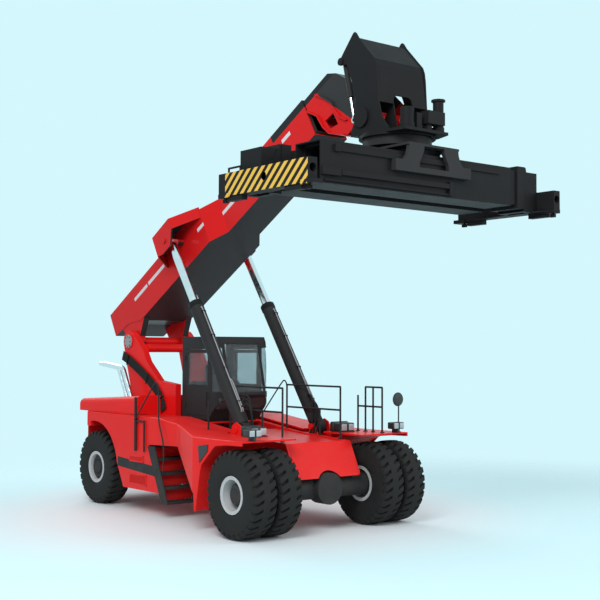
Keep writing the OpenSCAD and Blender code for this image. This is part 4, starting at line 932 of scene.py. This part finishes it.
def make_lamps():
    """Deck lamps at both corners and by the lift cylinders, each a rounded housing with a pale lens."""
    shells, glasses = [], []
    for side in (-1, 1):
        lamps = [lamp_shape((x, side * y, z), size, rim) for x, y, z, size, rim in DECK_LAMPS]
        y0, y1 = sorted((side * 0.90, side * 1.31))
        stand = rounded_block((0.16, side * 1.77 - 0.03, DECK_Z), (0.34, side * 1.77 + 0.03, 1.872), 0.008)
        shells += [lamps[0][0], lamps[1][0], stand, lamps[2][0], lamps[3][0]]
        shells.append(rounded_block((-0.76, y0, DECK_Z), (-0.44, y1, 1.805), 0.006))
        shells.append(rounded_block((-0.78, y0, DECK_Z), (-0.66, y1, 1.99), 0.03))
        glasses += [glass for _, glass in lamps]
    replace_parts(make_piece("deck_lamps", joined(shells), "black_plastic"), "work_lamps")
    make_piece("lamp_lenses", joined(glasses), "lamp_lens")


# A pivot's end disc: out, radius
PIVOT_DISC = [(0.0, 0.152), (0.022, 0.152), (0.030, 0.144), (0.030, 0.110), (0.024, 0.104), (0.024, 0.02),
              (0.024, 0.001)]


def make_tower_discs():
    """Grey end discs of the boom's pivot, each with a dished face and a ring of bolts."""
    discs = [turned_out(PIVOT_DISC, (PIVOT[0], side * 0.812, PIVOT[1]), side, 56) for side in (-1, 1)]
    make_piece("pivot_discs", joined(discs), "disc_paint")
    heads = [bolt_heads(circle((PIVOT[0], side * 0.842, PIVOT[1]), 0.127, 8), (0, side, 0), 0.014, 0.012)
             for side in (-1, 1)]
    make_piece("pivot_bolts", joined(heads), "dark_grey_paint")


# Wheels

# Turned hub covers: out from the wheel's middle plane, radius
HUB_DRUMS = {
    "drive": [(0.030, 0.205), (0.100, 0.205), (0.112, 0.195), (0.112, 0.192), (0.118, 0.186), (0.118, 0.150),
              (0.140, 0.146), (0.152, 0.136), (0.156, 0.120), (0.156, 0.001)],
    "steer": [(0.030, 0.255), (0.150, 0.255), (0.164, 0.246), (0.168, 0.235), (0.168, 0.160), (0.160, 0.156),
              (0.160, 0.146), (0.176, 0.140), (0.186, 0.126), (0.186, 0.001)],
}
LOCK_RING = [(0.2225, 0.348), (0.2285, 0.3465), (0.2300, 0.340), (0.2290, 0.334), (0.2225, 0.331)]
# Axles: name, place along, middle of the outer tyre, reach of the hub's face from it
AXLES = [("drive", 0.0, DRIVE_TYRES_Y[1], 0.151), ("steer", STEER_X, STEER_TYRE_Y, 0.141)]


def make_wheel_nuts():
    """Nuts on every wheel's hub flange and cap, the lock ring of each rim and the hub's turned cover."""
    for axle, x, y, reach in AXLES:
        for side, end in ((1, "left"), (-1, "right")):
            name, body = f"{axle}_{end}", f"{axle}_wheel_{end}"
            facing, middle = (0, side, 0), (x, side * y, AXLE_Z)
            ring = circle((x, side * (y + reach - 0.128), AXLE_Z), 0.218, 20)
            cap = circle((x, side * (y + reach), AXLE_Z), 0.105, 10)
            nuts = joined([bolt_heads(ring, facing, 0.017, 0.022), bolt_heads(cap, facing, 0.010, 0.010)])
            make_piece(f"wheel_nuts_{name}", nuts, "dark_grey_paint", body)
            lock = turned_out(LOCK_RING, middle, side, 72, closed=True)
            make_piece(f"lock_ring_{name}", lock, "rim_edge", body)
            drum = turned_out(HUB_DRUMS[axle], middle, side, 64)
            make_piece(f"hub_drum_{name}", drum, "dark_grey_paint", body)


# Mirror: its middle, and the sections of its shell and its glass, forwards and radius
MIRROR_PLACE = (0.222, 1.85, 2.45)
MIRROR_SHELL = [(0.000, 0.130), (-0.004, 0.134), (-0.002, 0.139), (0.006, 0.140), (0.020, 0.130),
                (0.034, 0.100), (0.040, 0.060), (0.042, 0.001)]
MIRROR_GLASS = [(-0.003, 0.001), (-0.001, 0.070), (0.003, 0.129), (0.008, 0.129), (0.008, 0.001)]


def make_mirror():
    """The round mirror: a domed dark shell, its glass on the rear, and a post with a foot on the deck."""
    x, y, _ = MIRROR_PLACE
    shell = turned_shape(MIRROR_SHELL, MIRROR_PLACE, "x", 64)
    route = [(x + 0.018, y, DECK_Z), (x + 0.018, y, 1.95), (x + 0.022, y, 2.12), (x + 0.022, y, 2.33)]
    post = tube_shape(eased_path(route, 24), 0.014, 16)
    foot = rounded_block((x - 0.005, y - 0.05, DECK_Z), (x + 0.045, y + 0.05, DECK_Z + 0.02), 0.006)
    piece = make_piece("mirror_shell", joined([shell, post, foot]), "black_plastic")
    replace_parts(piece, "round_mirror")
    make_piece("mirror_glass", turned_shape(MIRROR_GLASS, MIRROR_PLACE, "x", 64), "mirror_glass")


# Hoses down the tower's side: along, up. The clamps' places are counted in points of the smoothed path
HOSE_ROUTE = [(-6.12, 3.30), (-5.76, 3.16), (-5.22, 2.90), (-4.80, 2.66), (-4.50, 2.42), (-4.33, 2.12)]
HOSES = 6
HOSE_STEP = 0.036
HOSE_CLAMPS = (10, 34, 58)


def make_hose_bundle():
    """Hoses side by side down the tower's right side, with clamps at three places."""
    route = eased_path([(a, 0.0, z) for a, z in HOSE_ROUTE], 70)
    normal = -upright_normals(route)
    offs = HOSE_STEP * (np.arange(HOSES) - (HOSES - 1) / 2)
    hoses = [tube_shape(route + normal * off + (0.0, -0.828, 0.0), 0.0165, 14) for off in offs]
    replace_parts(make_piece("hose_bundle", joined(hoses), "hose_rubber"), "tower_hoses")
    bars = []
    for k in HOSE_CLAMPS:
        ends = [route[k] + normal[k] * reach for reach in (-0.125, 0.125)]
        bars.append(tube_shape([(e[0], -0.852, e[2]) for e in ends], 0.012))
    make_piece("hose_clamps", joined(bars), "black_paint")


# Lift cylinders

LIFT_FOOT = np.array([-1.19, 1.88])
LIFT_EYE = np.array([-3.89765, 5.7578])
LIFT_Y = 0.93
# Pipes on a barrel: place across, length. A gland: along, radius
PIPES = [(-0.02, 2.86), (0.02, 1.1)]
GLAND = [(2.955, 0.146), (2.965, 0.154), (3.07, 0.154), (3.079, 0.148)]
CLAMP_HALF = np.array((0.02, 0.045, 0.02))


def along_lift(distance, off=0.0, y=0.0):
    """A place along a lift cylinder from its foot, moved square to it towards the front, and across."""
    way = (LIFT_EYE - LIFT_FOOT) / np.linalg.norm(LIFT_EYE - LIFT_FOOT)
    x, z = LIFT_FOOT + way * distance + np.array([way[1], -way[0]]) * off
    return np.array((x, y, z))


def make_cylinder_pipes():
    """Two pale pipes along each barrel with clamps, a gland, and hoses from the foot to the frame."""
    pipes, clamps, glands, hoses = [], [], [], []
    for side in (-1, 1):
        for across, reach in PIPES:
            route = ((0.32, 0.135), (0.36, 0.175), (0.6, 0.180), (reach * 0.6, 0.180), (reach - 0.1, 0.180),
                     (reach, 0.150))
            line = [along_lift(d, off, side * LIFT_Y + across) for d, off in route]
            pipes.append(tube_shape(eased_path(line, 60), 0.011, 10))
        for d in (0.55, 1.35, 2.15, 2.75):
            centre = along_lift(d, 0.17, side * LIFT_Y)
            clamps.append(rounded_block(centre - CLAMP_HALF, centre + CLAMP_HALF, 0.01))
        line = [along_lift(d, y=side * LIFT_Y) for d, _ in GLAND]
        glands.append(tube_shape(line, [r for _, r in GLAND], 48))
        for k in range(3):
            x, _, z = along_lift(0.42 + 0.1 * k, 0.15)
            line = [(x + ahead, side * (y - 0.03 * k), up) for ahead, y, up in (
                (0.0, LIFT_Y, z), (0.10, LIFT_Y - 0.08, z + 0.06), (0.22, 0.84, z - 0.06), (0.26, 0.82, 1.95),
                (0.22, 0.80, 1.74))]
            hoses.append(tube_shape(eased_path(line, 40), 0.021))
    for name, parts, look, slot in (("cylinder_pipes", pipes, "pale_steel", "pale_paint"),
                                    ("pipe_clamps", clamps, "black_paint", "black_paint"),
                                    ("cylinder_glands", glands, "black_paint", "black_paint"),
                                    ("cylinder_hoses", hoses, "hose_rubber", "hose_rubber")):
        make_piece(name, joined(parts), look, "lift_barrel_pair")


# Operator's seat: the pads' net, pressure and frames of the cloth run, and the folds of the base's bellows

PAD_NET = 0.006
PAD_PRESSURE = 4.0
CLOTH_FRAMES = 20
BELLOWS = 6


def signed_power(value, power):
    """A value's size to a power, with its own sign."""
    return np.sign(value) * np.abs(value) ** power


def cushion_form(low, high, steps=14):
    """A soft block: a superellipsoid of even fullness between two corners."""
    low, high = np.asarray(low, float), np.asarray(high, float)
    u = np.linspace(-np.pi / 2 + 1e-3, np.pi / 2 - 1e-3, 2 * steps)
    v = np.linspace(0, 2 * np.pi, 4 * steps, endpoint=False)
    u, v = np.meshgrid(u, v, indexing="ij")
    wide = signed_power(np.cos(u), 0.35)
    ball = np.stack([wide * signed_power(np.cos(v), 0.3), wide * signed_power(np.sin(v), 0.3),
                     signed_power(np.sin(u), 0.45)], axis=-1)
    points = (low + high) / 2 + ball * (high - low) / 2
    return points.reshape(-1, 3), ring_faces(*u.shape)


def vertex_places(piece):
    """The places of a piece's vertices, as rows."""
    places = np.empty(len(piece.data.vertices) * 3)
    piece.data.vertices.foreach_get("co", places)
    return places.reshape(-1, 3)


def puffed(piece, cap):
    """Swells a pad by a short cloth run under pressure, each point moved by the cap at most."""
    remesh = piece.modifiers.new("even_net", "REMESH")
    remesh.mode = "VOXEL"
    remesh.voxel_size = PAD_NET
    apply_modifiers(piece)
    before = vertex_places(piece)
    cloth = piece.modifiers.new("air", "CLOTH")
    cloth.settings.use_pressure = True
    cloth.settings.uniform_pressure_force = PAD_PRESSURE
    cloth.settings.effector_weights.gravity = 0.0
    cloth.point_cache.frame_start = 1
    cloth.point_cache.frame_end = CLOTH_FRAMES
    for number in range(1, CLOTH_FRAMES + 1):
        bpy.context.scene.frame_set(number)
    apply_modifiers(piece)
    bpy.context.scene.frame_set(1)
    move = vertex_places(piece) - before
    size = np.linalg.norm(move, axis=1)[:, None]
    move *= np.minimum(1.0, cap / np.maximum(size, 1e-9))
    piece.data.vertices.foreach_set("co", (before + move).ravel())
    piece.data.update()
    piece.data.shade_smooth()


def apply_modifiers(piece):
    """Puts what the modifiers make into the piece's own mesh."""
    graph = bpy.context.evaluated_depsgraph_get()
    made = bpy.data.meshes.new_from_object(piece.evaluated_get(graph), depsgraph=graph)
    looks = list(piece.data.materials)
    piece.modifiers.clear()
    piece.data = made
    made.materials.clear()
    for look in looks:
        made.materials.append(look)


def make_seat():
    """The operator's seat: a padded cushion and back on a suspension base, in place of the plain block."""
    cushion = cushion_form((-3.60, -0.245, 2.33), (-3.10, 0.245, 2.435))
    points, faces = cushion_form((-0.055, -0.225, 0.03), (0.055, 0.225, 0.70))
    lean = math.atan2(0.10, 0.74)
    c, n = math.cos(lean), math.sin(lean)
    points = np.stack([-3.555 + points[:, 0] * c - points[:, 2] * n, points[:, 1],
                       2.46 + points[:, 0] * n + points[:, 2] * c], axis=-1)
    for name, shape in (("seat_cushion", cushion), ("seat_back", (points, faces))):
        piece = make_piece(name, shape, "seat_fabric", sharp=80.0)
        puffed(piece, 0.012)
        smooth_net = piece.modifiers.new("smooth", "SUBSURF")
        smooth_net.levels = smooth_net.render_levels = 1
        if name == "seat_cushion":
            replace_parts(piece, "operator_seat")
    base = [rounded_block((-3.56, -0.18, 2.02), (-3.20, 0.18, 2.08), 0.012),
            rounded_block((-3.58, -0.20, 2.27), (-3.14, 0.20, 2.325), 0.012)]
    for k in range(BELLOWS):
        z = 2.08 + 0.032 * k
        inset = 0.012 if k % 2 else 0.0
        low, high = (-3.55 + inset, -0.17 + inset, z), (-3.21 - inset, 0.17 - inset, z + 0.032)
        base.append(rounded_block(low, high, 0.012))
    make_piece("seat_base", joined(base), "black_plastic")


place_camera()
make_world()
make_floor()
for lamp_name, lamp_place, lamp_size, lamp_power in AREA_LAMPS:
    add_area(lamp_name, lamp_place, LAMP_TARGET, lamp_size, lamp_power)
dress_nodes()
make_tyres()
make_sides()
make_steps()
make_handrails()
make_grilles()
make_lamps()
make_tower_discs()
make_wheel_nuts()
make_mirror()
make_hose_bundle()
make_cylinder_pipes()
make_seat()

view = bpy.context.scene.view_settings
view.view_transform = "Standard"
